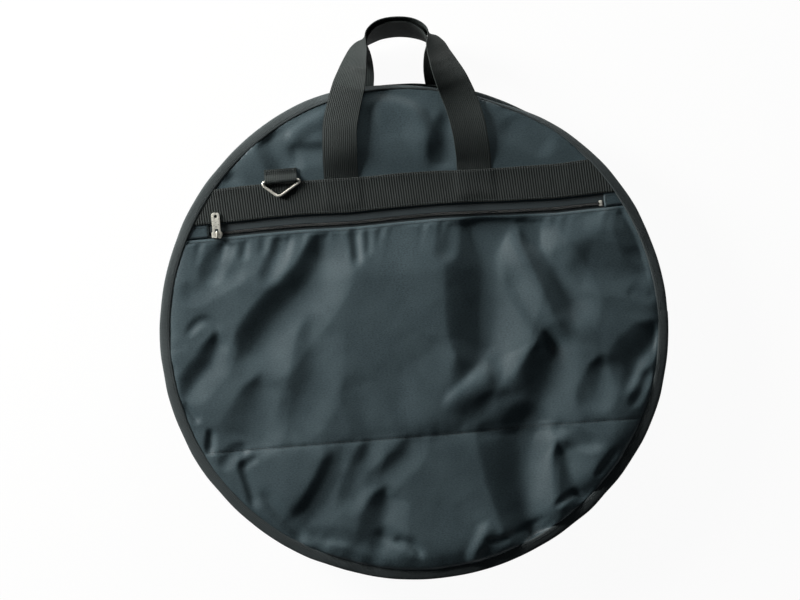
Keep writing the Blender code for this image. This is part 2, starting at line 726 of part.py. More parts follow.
def slider(name, place, bridge_turn, both_flanges):
    """Two plates, the blade between the coils, side flanges and the bridge."""
    plate_gap = COIL_HEIGHT / 2 + SLIDER_CLEAR
    body = flat_outline(name, [slider_outline()], plate_gap, plate_gap + TOP_PLATE, "nickel")
    body = to_mesh(body, "nickel")
    lower = flat_outline(name + "_lower", [slider_outline()], -plate_gap - PLATE, -plate_gap, "nickel")
    joined = [to_mesh(lower, "nickel")]
    middle = plate_gap + PLATE / 2
    blade_corner = Vector((SPINE_LENGTH / 2, SPINE / 2, middle))
    joined.append(box(name + "_blade", -blade_corner, blade_corner))
    outer = SLIDER_WIDTH * SLIDER_NOSE_SHARE / 2
    flange_half = SLIDER_LENGTH * SLIDER_NOSE_SHARE / 2
    slot = CLOTH / 2 + TAPE_SLOT
    for sign in ((-1, 1) if both_flanges else (-1,)):
        edge = sorted((sign * outer, sign * (outer - FLANGE)))
        for low, high in ((-middle, -slot), (slot, middle)):
            side_name = "%s_flange_%d_%d" % (name, sign > 0, low > 0)
            joined.append(box(side_name, (-flange_half, edge[0], low), (flange_half, edge[1], high)))
    joined.append(bridge(name + "_bridge", plate_gap + TOP_PLATE, bridge_turn))
    for other in joined:
        other.matrix_world = place @ other.matrix_world
        combine(body, make_cutter(other), "UNION")
    body.matrix_world = place @ body.matrix_world
    return body


def bridge(name, base, turn):
    """A wire arch over the top plate, which the pull hangs from."""
    top = base + BRIDGE_HEIGHT
    start = base - TOP_PLATE / 2
    inset = BRIDGE_HALF - BRIDGE_CORNER
    points = [
        (-BRIDGE_HALF, start), (-BRIDGE_HALF, top - BRIDGE_CORNER), (-inset, top),
        (inset, top), (BRIDGE_HALF, top - BRIDGE_CORNER), (BRIDGE_HALF, start),
    ]
    route = [Matrix.Rotation(turn, 3, "Z") @ Vector((along, 0.0, level)) for along, level in points]
    return to_mesh(wire(name, route, BRIDGE_WIRE, False), "nickel")


def wire(name, route, radius, cyclic, finish="nickel"):
    """A round wire along a route."""
    curve = bpy.data.curves.new(name, "CURVE")
    curve.dimensions = "3D"
    curve.bevel_depth = radius
    curve.bevel_resolution = 2
    curve.use_fill_caps = True
    spline = curve.splines.new("POLY")
    spline.points.add(len(route) - 1)
    for point, place in zip(spline.points, route):
        point.co = (*place, 1.0)
    spline.use_cyclic_u = cyclic
    return add_part(name, curve, finish)


def rounded_loop(low, high, half, corner):
    """A rectangle with round corners, from low to high along and half across."""
    loop = []
    middle = (low + high) / 2
    for along, across, first in ((high, half, 0), (low, half, 1), (low, -half, 2), (high, -half, 3)):
        centre = (along - math.copysign(corner, along - middle), across - math.copysign(corner, across))
        for k in range(PULL_CORNER_STEPS + 1):
            angle = (first + k / PULL_CORNER_STEPS) * math.pi / 2
            loop.append((centre[0] + corner * math.cos(angle), centre[1] + corner * math.sin(angle)))
    return loop


def pull(name, place):
    """A flat tab with a window round the bridge and a hole at its far end."""
    outside = rounded_loop(-PULL_BAR_HALF, PULL_LENGTH, PULL_WIDTH / 2, PULL_WIDTH / 4)
    window_end = PULL_BAR_HALF + PULL_WINDOW_LENGTH
    window = rounded_loop(PULL_BAR_HALF, window_end, PULL_WINDOW_WIDTH / 2, PULL_BAR_HALF)
    hole_centre = PULL_LENGTH - PULL_HOLE_INSET
    turns = [2 * math.pi * k / (4 * PULL_CORNER_STEPS) for k in range(4 * PULL_CORNER_STEPS)]
    hole = [(hole_centre + PULL_HOLE_RADIUS * math.cos(t), PULL_HOLE_RADIUS * math.sin(t)) for t in turns]
    part = flat_outline(name, [outside, window, hole], -PULL_THICKNESS / 2, PULL_THICKNESS / 2, "nickel")
    part.matrix_world = place
    return part


def pocket_slider():
    """The pocket's slider and pull, at the closed end of its zip."""
    level = POCKET_TAPE_TOP - CLOTH / 2
    place = Matrix.Translation((ZIP_LEFT, ZIP_LINE, level))
    slider("pocket_slider", place, math.pi / 2, True)
    pivot = Matrix.Translation((ZIP_LEFT, ZIP_LINE, level + PIVOT_LEVEL))
    pull("pocket_pull", pivot @ Matrix.Rotation(math.pi / 2, 4, "Z"))


def main_sliders():
    """Two sliders on the gusset zip, their pulls lying away from each other."""
    for side, angle in MAIN_SLIDER_ANGLES.items():
        around = math.radians(angle)
        outward = Vector((math.cos(around), math.sin(around), 0.0))
        along = Vector((-math.sin(around), math.cos(around), 0.0))
        up = Vector((0.0, 0.0, 1.0))
        turn = Matrix((along, up, outward)).transposed().to_4x4()
        centre = outward * TAPE_MIDDLE + up * MAIN_ZIP_LEVEL
        axis = bpy.data.objects.new("main_slider_axis_" + side, None)
        COLLECTION.objects.link(axis)
        body = slider("main_slider_" + side, Matrix.Translation(centre) @ turn, 0.0, False)
        body.parent = axis
        pivot = Matrix.Translation(centre + outward * PIVOT_LEVEL) @ turn
        facing = Matrix.Rotation(0.0 if side == "left" else math.pi, 4, "Z")
        pull("main_pull_" + side, pivot @ facing)


def smooth_route(keys, steps):
    """Even samples through the key points: a smooth curve in plan, straight in level and turn."""
    padded = [2 * keys[0] - keys[1]] + keys + [2 * keys[-1] - keys[-2]]
    spans = len(keys) - 1
    result = []
    for k in range(steps + 1):
        place = k / steps * spans
        index = min(int(place), spans - 1)
        t = place - index
        a, b, c, d = padded[index:index + 4]
        curved = 0.5 * (2 * b + (c - a) * t + (2 * a - 5 * b + 4 * c - d) * t * t
                        + (3 * b - a - 3 * c + d) * t * t * t)
        straight = b.lerp(c, t)
        result.append(Vector((curved.x, curved.y, straight.z, straight.w)))
    return result


def handle(name, nest, leg_level, grip_shift):
    """A webbing loop: flat legs that turn on edge towards the grip."""
    keys = []
    for spread, rise, turn, shift in HANDLE_ROUTE_SHARES:
        inset = nest * min(1.0, spread / CREASE_SHARES[0])
        height = rise * (HANDLE_REACH - nest + HANDLE_ROOT) - HANDLE_ROOT
        left = inset - spread * HANDLE_HALF_SPREAD
        keys.append(Vector((left, height, shift * grip_shift, math.radians(turn))))
    mirrored = [Vector((-key.x, key.y, key.z, key.w)) for key in reversed(keys[:-1])]
    route = smooth_route(keys + mirrored, HANDLE_STEPS)
    mesh = bpy.data.meshes.new(name)
    work = bmesh.new()
    bmesh.ops.create_grid(work, x_segments=HANDLE_STEPS, y_segments=1, size=0.5)
    work.verts.ensure_lookup_table()
    columns = sorted({round(vert.co.x, 5) for vert in work.verts})
    for vert in work.verts:
        k = columns.index(round(vert.co.x, 5))
        side = 1 if vert.co.y > 0 else -1
        ahead = route[min(k + 1, HANDLE_STEPS)]
        behind = route[max(k - 1, 0)]
        run = Vector((ahead.x - behind.x, ahead.y - behind.y, 0.0)).normalized()
        if k in (0, HANDLE_STEPS):
            run = Vector((0.0, 1.0 if k == 0 else -1.0, 0.0))
        outward = Vector((-run.y, run.x, 0.0))
        turn = route[k].w
        across = outward * math.cos(turn) - Vector((0.0, 0.0, 1.0)) * math.sin(turn)
        vert.co = route[k].to_3d() + across * side * WEBBING_WIDTH / 2
    bmesh.ops.recalc_face_normals(work, faces=work.faces)
    work.to_mesh(mesh)
    work.free()
    part = add_part(name, mesh, "webbing")
    part.location = (HANDLE_CENTRE, HINGE_HEIGHT, leg_level)
    sheet = part.modifiers.new("webbing", "SOLIDIFY")
    sheet.thickness = WEBBING
    sheet.offset = 0.0
    return part


def handles():
    """The front handle, and the back one nested inside it."""
    handle("front_handle", 0.0, FRONT_LEG_LEVEL, -GRIP_DROP)
    handle("back_handle", HANDLE_NEST, BACK_LEG_LEVEL, BACK_GRIP_RISE)


def ring_tab():
    """A short webbing loop, folded round the ring's bar and sewn at its tail."""
    bore = RING_WIRE / 2 + RUN_CLEARANCE
    outer = bore + TAB_WEBBING
    drop = RING_BAR_LEVEL - FRONT_BAND_BASE
    tail_top = 2 * TAB_WEBBING - drop
    turns = [math.pi * k / TAB_FOLD_STEPS for k in range(TAB_FOLD_STEPS + 1)]
    arc = [(-outer * math.sin(t), outer * math.cos(t)) for t in turns]
    outline = arc + [(outer, -drop), (TAB_LENGTH, -drop), (TAB_LENGTH, tail_top)]
    bore_turns = [math.pi * k / TAB_FOLD_STEPS for k in range(2 * TAB_FOLD_STEPS)]
    eye = [(bore * math.cos(t), bore * math.sin(t)) for t in bore_turns]
    tab = flat_outline("front_ring_tab", [outline, eye], -TAB_WIDTH / 2, TAB_WIDTH / 2, "webbing")
    axes = Matrix(((0.0, 0.0, 1.0), (1.0, 0.0, 0.0), (0.0, 1.0, 0.0))).to_4x4()
    tab.matrix_world = Matrix.Translation((TAB_CENTRE, RING_BAR_HEIGHT, RING_BAR_LEVEL)) @ axes


def front_ring():
    """A triangular wire ring, its bar through the tab and its point hanging down."""
    corners = [
        Vector((-RING_HALF_WIDTH, 0.0, 0.0)),
        Vector((-RING_HALF_WIDTH, -RING_SHOULDER, 0.0)),
        Vector((0.0, -RING_REACH, 0.0)),
        Vector((RING_HALF_WIDTH, -RING_SHOULDER, 0.0)),
        Vector((RING_HALF_WIDTH, 0.0, 0.0)),
    ]
    route = []
    for k, corner in enumerate(corners):
        before = (corners[k - 1] - corner).normalized()
        after = (corners[(k + 1) % len(corners)] - corner).normalized()
        at_point = corner.x == 0.0
        soft = RING_CORNER if at_point else RING_SHOULDER / 2 - GAP
        for t in RING_BEND_SHARES:
            near = corner + before * soft * (1 - t) * (1 - t)
            route.append(near + after * soft * t * t)
    ring = wire("front_ring", route, RING_WIRE / 2, True)
    ring.location = (TAB_CENTRE, RING_BAR_HEIGHT, RING_BAR_LEVEL)


def main():
    """Build every piece."""
    clear_scene()
    above, below = seam_cutters()
    back_shell()
    bindings(above, below)
    gusset(above, below)
    main_zip(below)
    front_sheets()
    pocket_zip()
    pocket_slider()
    main_sliders()
    handles()
    ring_tab()
    front_ring()


main()
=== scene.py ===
"""Looks for the cymbal bag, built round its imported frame. Lengths are millimetres until a mesh is made."""

import math

import bmesh
import bpy
import numpy as np
from mathutils import Matrix, Vector, geometry


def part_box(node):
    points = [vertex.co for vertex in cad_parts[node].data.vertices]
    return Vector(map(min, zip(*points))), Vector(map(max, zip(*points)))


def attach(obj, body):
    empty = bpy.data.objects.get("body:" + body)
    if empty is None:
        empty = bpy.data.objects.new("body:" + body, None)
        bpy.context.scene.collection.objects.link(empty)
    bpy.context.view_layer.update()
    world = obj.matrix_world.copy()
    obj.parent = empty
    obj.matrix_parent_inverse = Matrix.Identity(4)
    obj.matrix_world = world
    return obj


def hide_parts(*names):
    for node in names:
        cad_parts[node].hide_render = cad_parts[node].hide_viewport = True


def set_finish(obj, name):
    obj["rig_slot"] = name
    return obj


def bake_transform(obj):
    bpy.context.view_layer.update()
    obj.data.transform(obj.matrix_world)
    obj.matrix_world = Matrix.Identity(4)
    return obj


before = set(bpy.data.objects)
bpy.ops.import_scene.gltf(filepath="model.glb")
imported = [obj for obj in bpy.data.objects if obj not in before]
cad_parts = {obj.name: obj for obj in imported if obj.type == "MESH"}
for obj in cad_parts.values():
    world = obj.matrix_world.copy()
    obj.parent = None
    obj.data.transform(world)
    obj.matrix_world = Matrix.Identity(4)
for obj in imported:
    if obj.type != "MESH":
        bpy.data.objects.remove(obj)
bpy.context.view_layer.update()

# A millimetre in metres, and the distance between two yarns of the webbing
MM = 0.001
YARN_PITCH = 1.3

# The photograph's view: its turn, the point under the camera, the width it takes in and its height
PHOTO_TURN = math.radians(4.7)
VIEW_CENTRE = (-13.8, 37.2)
VIEW_WIDTH = 928.0
CAMERA_HEIGHT = 2250.0

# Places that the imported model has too
FRONT = 51.0
SEAM_RADIUS = 284.0
CLOTH = 0.6
SEAM_Y = -122.0
ZIP_Y = 130.0
HEM_Y = 125.2
HEM_STITCH_Y = 122.2
BAND_LOW = 142.0
BAND_HIGH = 182.0
ZIP_LEFT = -219.0
ZIP_RIGHT = 225.0
HINGE_Y = 186.0


# The camera

def add_object(name, data):
    """A new object in the scene."""
    thing = bpy.data.objects.new(name, data)
    bpy.context.scene.collection.objects.link(thing)
    return thing


def place_camera():
    """Straight above the bag, turned as the photograph was."""
    data = bpy.data.cameras.new("camera")
    data.lens_unit = "FOV"
    data.angle = 2 * math.atan(VIEW_WIDTH / 2 / (CAMERA_HEIGHT - FRONT))
    camera = add_object("camera", data)
    camera.location = (VIEW_CENTRE[0] * MM, VIEW_CENTRE[1] * MM, CAMERA_HEIGHT * MM)
    camera.rotation_euler = (0.0, 0.0, -PHOTO_TURN)
    bpy.context.scene.camera = camera


place_camera()


# Materials

def linear(code):
    """An sRGB hex colour as linear numbers."""
    parts = [int(code[i:i + 2], 16) / 255 for i in (0, 2, 4)]
    return [c / 12.92 if c <= 0.04045 else ((c + 0.055) / 1.055) ** 2.4 for c in parts] + [1.0]


def add_node(tree, kind, settings=None, links=None):
    """Add a node, set its own settings and sockets, and link what feeds it."""
    node = tree.nodes.new("ShaderNode" + kind)
    for name, value in (settings or {}).items():
        if isinstance(name, str) and hasattr(node, name):
            setattr(node, name, value)
        else:
            node.inputs[name].default_value = value
    for name, source in (links or {}).items():
        output = source if isinstance(source, bpy.types.NodeSocket) else source.outputs[0]
        tree.links.new(output, node.inputs[name])
    return node


def new_material(name):
    """A node material with its tree and its shader."""
    material = bpy.data.materials.new(name)
    material.use_nodes = True
    tree = material.node_tree
    return material, tree, tree.nodes["Principled BSDF"]


def thread_waves(tree, place, steps):
    """Waves across a cloth, one for each direction of its plan, at so many radians a millimetre."""
    scaled = add_node(tree, "VectorMath", {"operation": "MULTIPLY", 1: steps}, {0: place})
    waves = add_node(tree, "VectorMath", {"operation": "SINE"}, {0: scaled})
    parts = add_node(tree, "SeparateXYZ", {}, {0: waves})
    return parts.outputs[0], parts.outputs[1]


def dress(tree, shader, dark, light, share, height, relief, rough=None):
    """Colour a shader between two tones, raise it by a relief in millimetres, and vary its roughness."""
    colour = add_node(tree, "Mix", {"data_type": "RGBA", 6: linear(dark), 7: linear(light)}, {0: share})
    bump = add_node(tree, "Bump", {"Strength": 1.0, "Distance": relief * MM}, {"Height": height})
    tree.links.new(colour.outputs[2], shader.inputs["Base Color"])
    tree.links.new(bump.outputs[0], shader.inputs["Normal"])
    if rough:
        marks, low, high = rough
        varied = add_node(tree, "MapRange", {"From Min": 0.3, "From Max": 0.7, "To Min": low,
                                             "To Max": high}, {0: marks})
        tree.links.new(varied.outputs[0], shader.inputs["Roughness"])


def woven(name, dark, light, thread, relief, roughness, mottle=45.0, twill=False, gloss=0.5, fleck=0.7):
    """Woven cloth: over and under threads, uneven dye and soft wear, all in millimetres of its UV map. The
    raised threads are also painted lighter and the hollows between them darker, as painted shade on top of
    the bump.
    """
    material, tree, shader = new_material(name)
    place = add_node(tree, "UVMap", {"uv_map": "cloth_mm"})
    turn = add_node(tree, "VectorRotate", {"rotation_type": "Z_AXIS", "Angle": math.radians(45.0 * twill)},
                    {"Vector": place})
    over, under = thread_waves(tree, turn, (math.pi / thread,) * 3)
    weave = add_node(tree, "Math", {"operation": "MULTIPLY"}, {0: over, 1: under})
    drawn = add_node(tree, "VectorMath", {"operation": "MULTIPLY", 1: (0.45, 0.8, 1.0)}, {0: place})
    slubs = add_node(tree, "TexNoise", {"Scale": 0.9, "Detail": 2.0, "Roughness": 0.6}, {"Vector": drawn})
    cloud = add_node(tree, "TexNoise", {"Scale": 1.0 / mottle, "Detail": 3.0, "Roughness": 0.5},
                     {"Vector": place}).outputs["Fac"]
    height = add_node(tree, "Math", {"operation": "MULTIPLY_ADD", 1: 0.5, 2: 0.5}, {0: weave})
    # The colour follows the weave's height as well as the slubs and the uneven dye: painted highlight on the
    # raised threads, painted shade in the hollows between them.
    grain = add_node(tree, "Math", {"operation": "MULTIPLY_ADD", 1: fleck},
                     {0: slubs.outputs["Fac"], 2: height})
    tone_and_relief_shade = add_node(tree, "Math", {"operation": "MULTIPLY_ADD", 1: 0.9}, {0: cloud, 2: grain})
    share = add_node(tree, "MapRange", {"From Min": 0.2 + 0.5 * fleck, "From Max": 1.4 + 0.5 * fleck},
                     {0: tone_and_relief_shade})
    dress(tree, shader, dark, light, share, grain, relief, (cloud, roughness - 0.05, roughness + 0.06))
    shader.inputs["Specular IOR Level"].default_value = gloss
    return material


def ribbed(name, dark, light, pitch, relief, roughness, along):
    """Webbing or tape whose ribs run along or across it, with finer yarn between them. Its colour follows
    the ribs' height: painted highlight on the ridges, painted shade in the grooves.
    """
    material, tree, shader = new_material(name)
    place = add_node(tree, "UVMap", {"uv_map": "cloth_mm"})
    rib_step, yarn_step = 2 * math.pi / pitch, 2 * math.pi / YARN_PITCH
    if along:
        yarn, rib = thread_waves(tree, place, (yarn_step, rib_step, 1.0))
    else:
        rib, yarn = thread_waves(tree, place, (rib_step, yarn_step, 1.0))
    fuzz = add_node(tree, "TexNoise", {"Scale": 1.1, "Detail": 3.0}, {"Vector": place})
    worn = add_node(tree, "TexNoise", {"Scale": 0.03, "Detail": 2.0}, {"Vector": place})
    height = add_node(tree, "Math", {"operation": "MULTIPLY_ADD", 1: 0.25}, {0: yarn, 2: rib})
    # The ribs' height goes into the colour as well as the bump: painted highlight on the ridges, painted
    # shade between them.
    uneven = add_node(tree, "Math", {"operation": "MULTIPLY_ADD", 1: 1.1},
                      {0: fuzz.outputs["Fac"], 2: height})
    tone_and_relief_shade = add_node(tree, "Math", {"operation": "MULTIPLY_ADD", 1: 1.2}, {0: worn.outputs["Fac"], 2: uneven})
    share = add_node(tree, "MapRange", {"From Min": -0.3, "From Max": 2.7}, {0: tone_and_relief_shade})
    dress(tree, shader, dark, light, share, uneven, relief)
    shader.inputs["Roughness"].default_value = roughness
    shader.inputs["Specular IOR Level"].default_value = 0.2
    return material


def moulded(name, dark, light, roughness, grain, relief, metallic=0.0):
    """Plastic or plated metal: one smooth finish, broken by fine marks."""
    material, tree, shader = new_material(name)
    place = add_node(tree, "TexCoord")
    marks = add_node(tree, "TexNoise", {"Scale": 1000.0 / grain, "Detail": 4.0},
                     {"Vector": place.outputs["Object"]}).outputs["Fac"]
    dress(tree, shader, dark, light, marks, marks, relief, (marks, roughness - 0.06, roughness + 0.08))
    shader.inputs["Metallic"].default_value = metallic
    return material


# Coated woven polyester: a slate cloth with a low satin gloss. Its 0.5 mm threads are too fine to show,
# so they are drawn at 0.9 mm.
POLYESTER = woven("coated_woven_polyester", "29343A", "3F4E53", 0.9, 0.05, 0.52, gloss=0.26, fleck=2.6)
# Thin plain nylon: a smooth dark lining with a faint shine.
LINING = woven("plain_nylon_lining", "1B1E20", "2A2E30", 1.1, 0.04, 0.5, mottle=60.0)
# Woven zip tape: a flat grey herringbone band, duller than the cloth.
ZIP_TAPE = woven("woven_zip_tape", "242B2E", "343C3F", 1.2, 0.06, 0.62, mottle=30.0, twill=True, gloss=0.25)
# Polypropylene webbing, ribs across: near black, dull; its ridges catch the light and are also painted
# lighter, with painted shade in the grooves.
BAND_WEBBING = ribbed("polypropylene_webbing_cross_ribs", "0E1212", "303635", 2.9, 0.16, 0.7, False)
# Polypropylene webbing, ribs lengthwise: the same yarn, woven with fine lengthwise cords.
HANDLE_WEBBING = ribbed("polypropylene_webbing_long_ribs", "171C1C", "2B3130", 2.2, 0.10, 0.7, True)
# Grosgrain binding: a folded tape with fine cross ribs and a soft grey edge.
BINDING = ribbed("grosgrain_binding_tape", "292F30", "444B4D", 1.5, 0.07, 0.75, False)
# Nylon coil: smooth black plastic loops.
COIL = moulded("nylon_zip_coil", "0C0E0F", "1A1D1F", 0.35, 2.0, 0.01)
# Polyester thread: dark, slightly shiny twisted strands.
THREAD = moulded("polyester_thread", "1A1F22", "30373A", 0.45, 0.6, 0.02)
# Nickel plate over zinc: a warm bright metal with fine handling marks.
NICKEL = moulded("nickel_plate", "DAD8CC", "ECEBE2", 0.3, 1.5, 0.01, metallic=0.6)


# Smooth shapes in numbers

def smooth(share):
    """0 below 0, 1 above 1, and an even turn between."""
    share = np.clip(share, 0.0, 1.0)
    return share * share * (3 - 2 * share)


def between(table, place, share):
    """The value between two neighbours in a table that repeats."""
    return table[place % len(table)] * (1 - share) + table[(place + 1) % len(table)] * share


def between_cells(table, i, j, s, t):
    """The value between four neighbours in a table that repeats in both directions."""
    rows, columns = table.shape
    near, far = [table[i % rows, k % columns] * (1 - s) + table[(i + 1) % rows, k % columns] * s
                 for k in (j, j + 1)]
    return near * (1 - t) + far * t


def soft_noise(x, y, cell, seed):
    """Smooth values from -1 to 1, a fresh one in each cell of a grid that is turned so as not to show."""
    table = np.random.default_rng(seed).uniform(-1.0, 1.0, (64, 64))
    u = (0.86 * x + 0.51 * y) / cell
    v = (0.86 * y - 0.51 * x) / cell
    i, j = np.floor(u).astype(int), np.floor(v).astype(int)
    s, t = [c * c * c * (c * (6 * c - 15) + 10) for c in (u - i, v - j)]
    return between_cells(table, i, j, s, t)


def line_noise(x, cell, seed):
    """Smooth values from -1 to 1 along one direction."""
    table = np.random.default_rng(seed).uniform(-1.0, 1.0, 512)
    u = np.asarray(x, float) / cell + 200.0
    i = np.floor(u).astype(int)
    return between(table, i, smooth(u - i))


def bell(distance, width):
    """1 at no distance, falling evenly to 0 on both sides."""
    return np.exp(-(distance / width) ** 2)


def stacked(*parts):
    """Coordinates side by side, as points or UV places."""
    return np.stack(np.broadcast_arrays(*parts), axis=-1)


def path_lengths(points):
    """How far along its line each point lies."""
    return np.concatenate([[0.0], np.cumsum(np.linalg.norm(np.diff(points, axis=0), axis=1))])


def ring_table(pairs, blur=14):
    """A value for each half degree round the bag, eased between the given angles."""
    values = np.interp(np.arange(720) / 2, *zip(*pairs))
    window = np.hanning(2 * blur + 1)
    window /= window.sum()
    padded = np.concatenate([values[-2 * blur:], values, values[:2 * blur]])
    return np.convolve(padded, window, "same")[2 * blur:-2 * blur]


def ring_value(table, angle):
    """The table's value at an angle in degrees."""
    place = (np.asarray(angle) % 360.0) * 2
    low = np.floor(place).astype(int)
    return between(table, low, place - low)


# How the soft rim strays from its circle, by angle from +X, in millimetres or degrees
FOOT_PUSH = ring_table(((0, 0), (205, 0), (225, -2), (248, -6), (290, -6), (312, -4), (338, 0), (360, 0)))
TOP_PUSH = ring_table(((0, 0), (25, 0), (50, 0), (56, -1.5), (66, -4.6), (74, -4.0), (96, -0.5), (110, 1.2),
                       (150, 1.5), (190, 0.5), (215, 0), (360, 0)))
FRONT_TILT = ring_table(((0, 6), (20, 12), (32, 30), (44, 44), (52, 56), (66, 84), (82, 78), (96, 58),
                         (108, 22), (125, 6), (160, 4), (205, 6), (235, 8), (262, 10), (300, 6), (330, 4),
                         (360, 6)))
BACK_TILT = ring_table(((0, 14), (40, 45), (60, 58), (88, 46), (110, 16), (150, 8), (205, 8), (245, 26),
                        (295, 30), (330, 18), (360, 14)))
BAND_LIFT = ring_table(((0, 0), (23, 0), (30, 1.3), (38, 1.3), (43, 0), (137, 0), (142, 1.3), (150, 1.3),
                        (157, 0), (360, 0)), blur=5)
RIM_BULGE = ring_table(((0, 1.6), (25, 1.0), (45, 0.4), (100, 0.4), (125, 0.8), (160, 0.9), (200, 1.2),
                        (220, 2.0), (240, 3.2), (262, 3.6), (285, 4.2), (315, 4.4), (335, 2.8), (360, 1.6)))
# How wide the crown's slope is, from the rim inwards, by angle
DOME_WIDTH = ring_table(((0, 105), (25, 95), (45, 72), (75, 88), (120, 150), (200, 160), (222, 100),
                         (245, 66), (275, 42), (300, 26), (328, 28), (345, 70), (360, 105)))


def rounded_line(points, steps=5):
    """A smooth curve through the points."""
    keys = [np.array(p, float) for p in points]
    keys = [2 * keys[0] - keys[1]] + keys + [2 * keys[-1] - keys[-2]]
    result = []
    for k in range(1, len(keys) - 2):
        a, b, c, d = keys[k - 1:k + 3]
        for t in np.arange(steps) / steps:
            result.append(0.5 * (2 * b + (c - a) * t + (2 * a - 5 * b + 4 * c - d) * t ** 2
                                 + (3 * b - a - 3 * c + d) * t ** 3))
    result.append(keys[-2])
    return np.array(result)


def along_line(x, y, line):
    """Distance to a line, positive on a walker's left, and the share of the way along it."""
    lengths = np.hypot(*np.diff(line, axis=0).T)
    best = np.full(x.shape, 1e9)
    side = np.zeros(x.shape)
    share = np.zeros(x.shape)
    done = 0.0
    for (ax, ay), (bx, by), length in zip(line[:-1], line[1:], lengths):
        dx, dy = (bx - ax) / length, (by - ay) / length
        t = np.clip((x - ax) * dx + (y - ay) * dy, 0.0, length)
        away = np.hypot(x - ax - t * dx, y - ay - t * dy)
        closer = away < best
        best = np.where(closer, away, best)
        side = np.where(closer, np.sign(dx * (y - ay) - dy * (x - ax)), side)
        share = np.where(closer, (done + t) / lengths.sum(), share)
        done += length
    return best * side, share


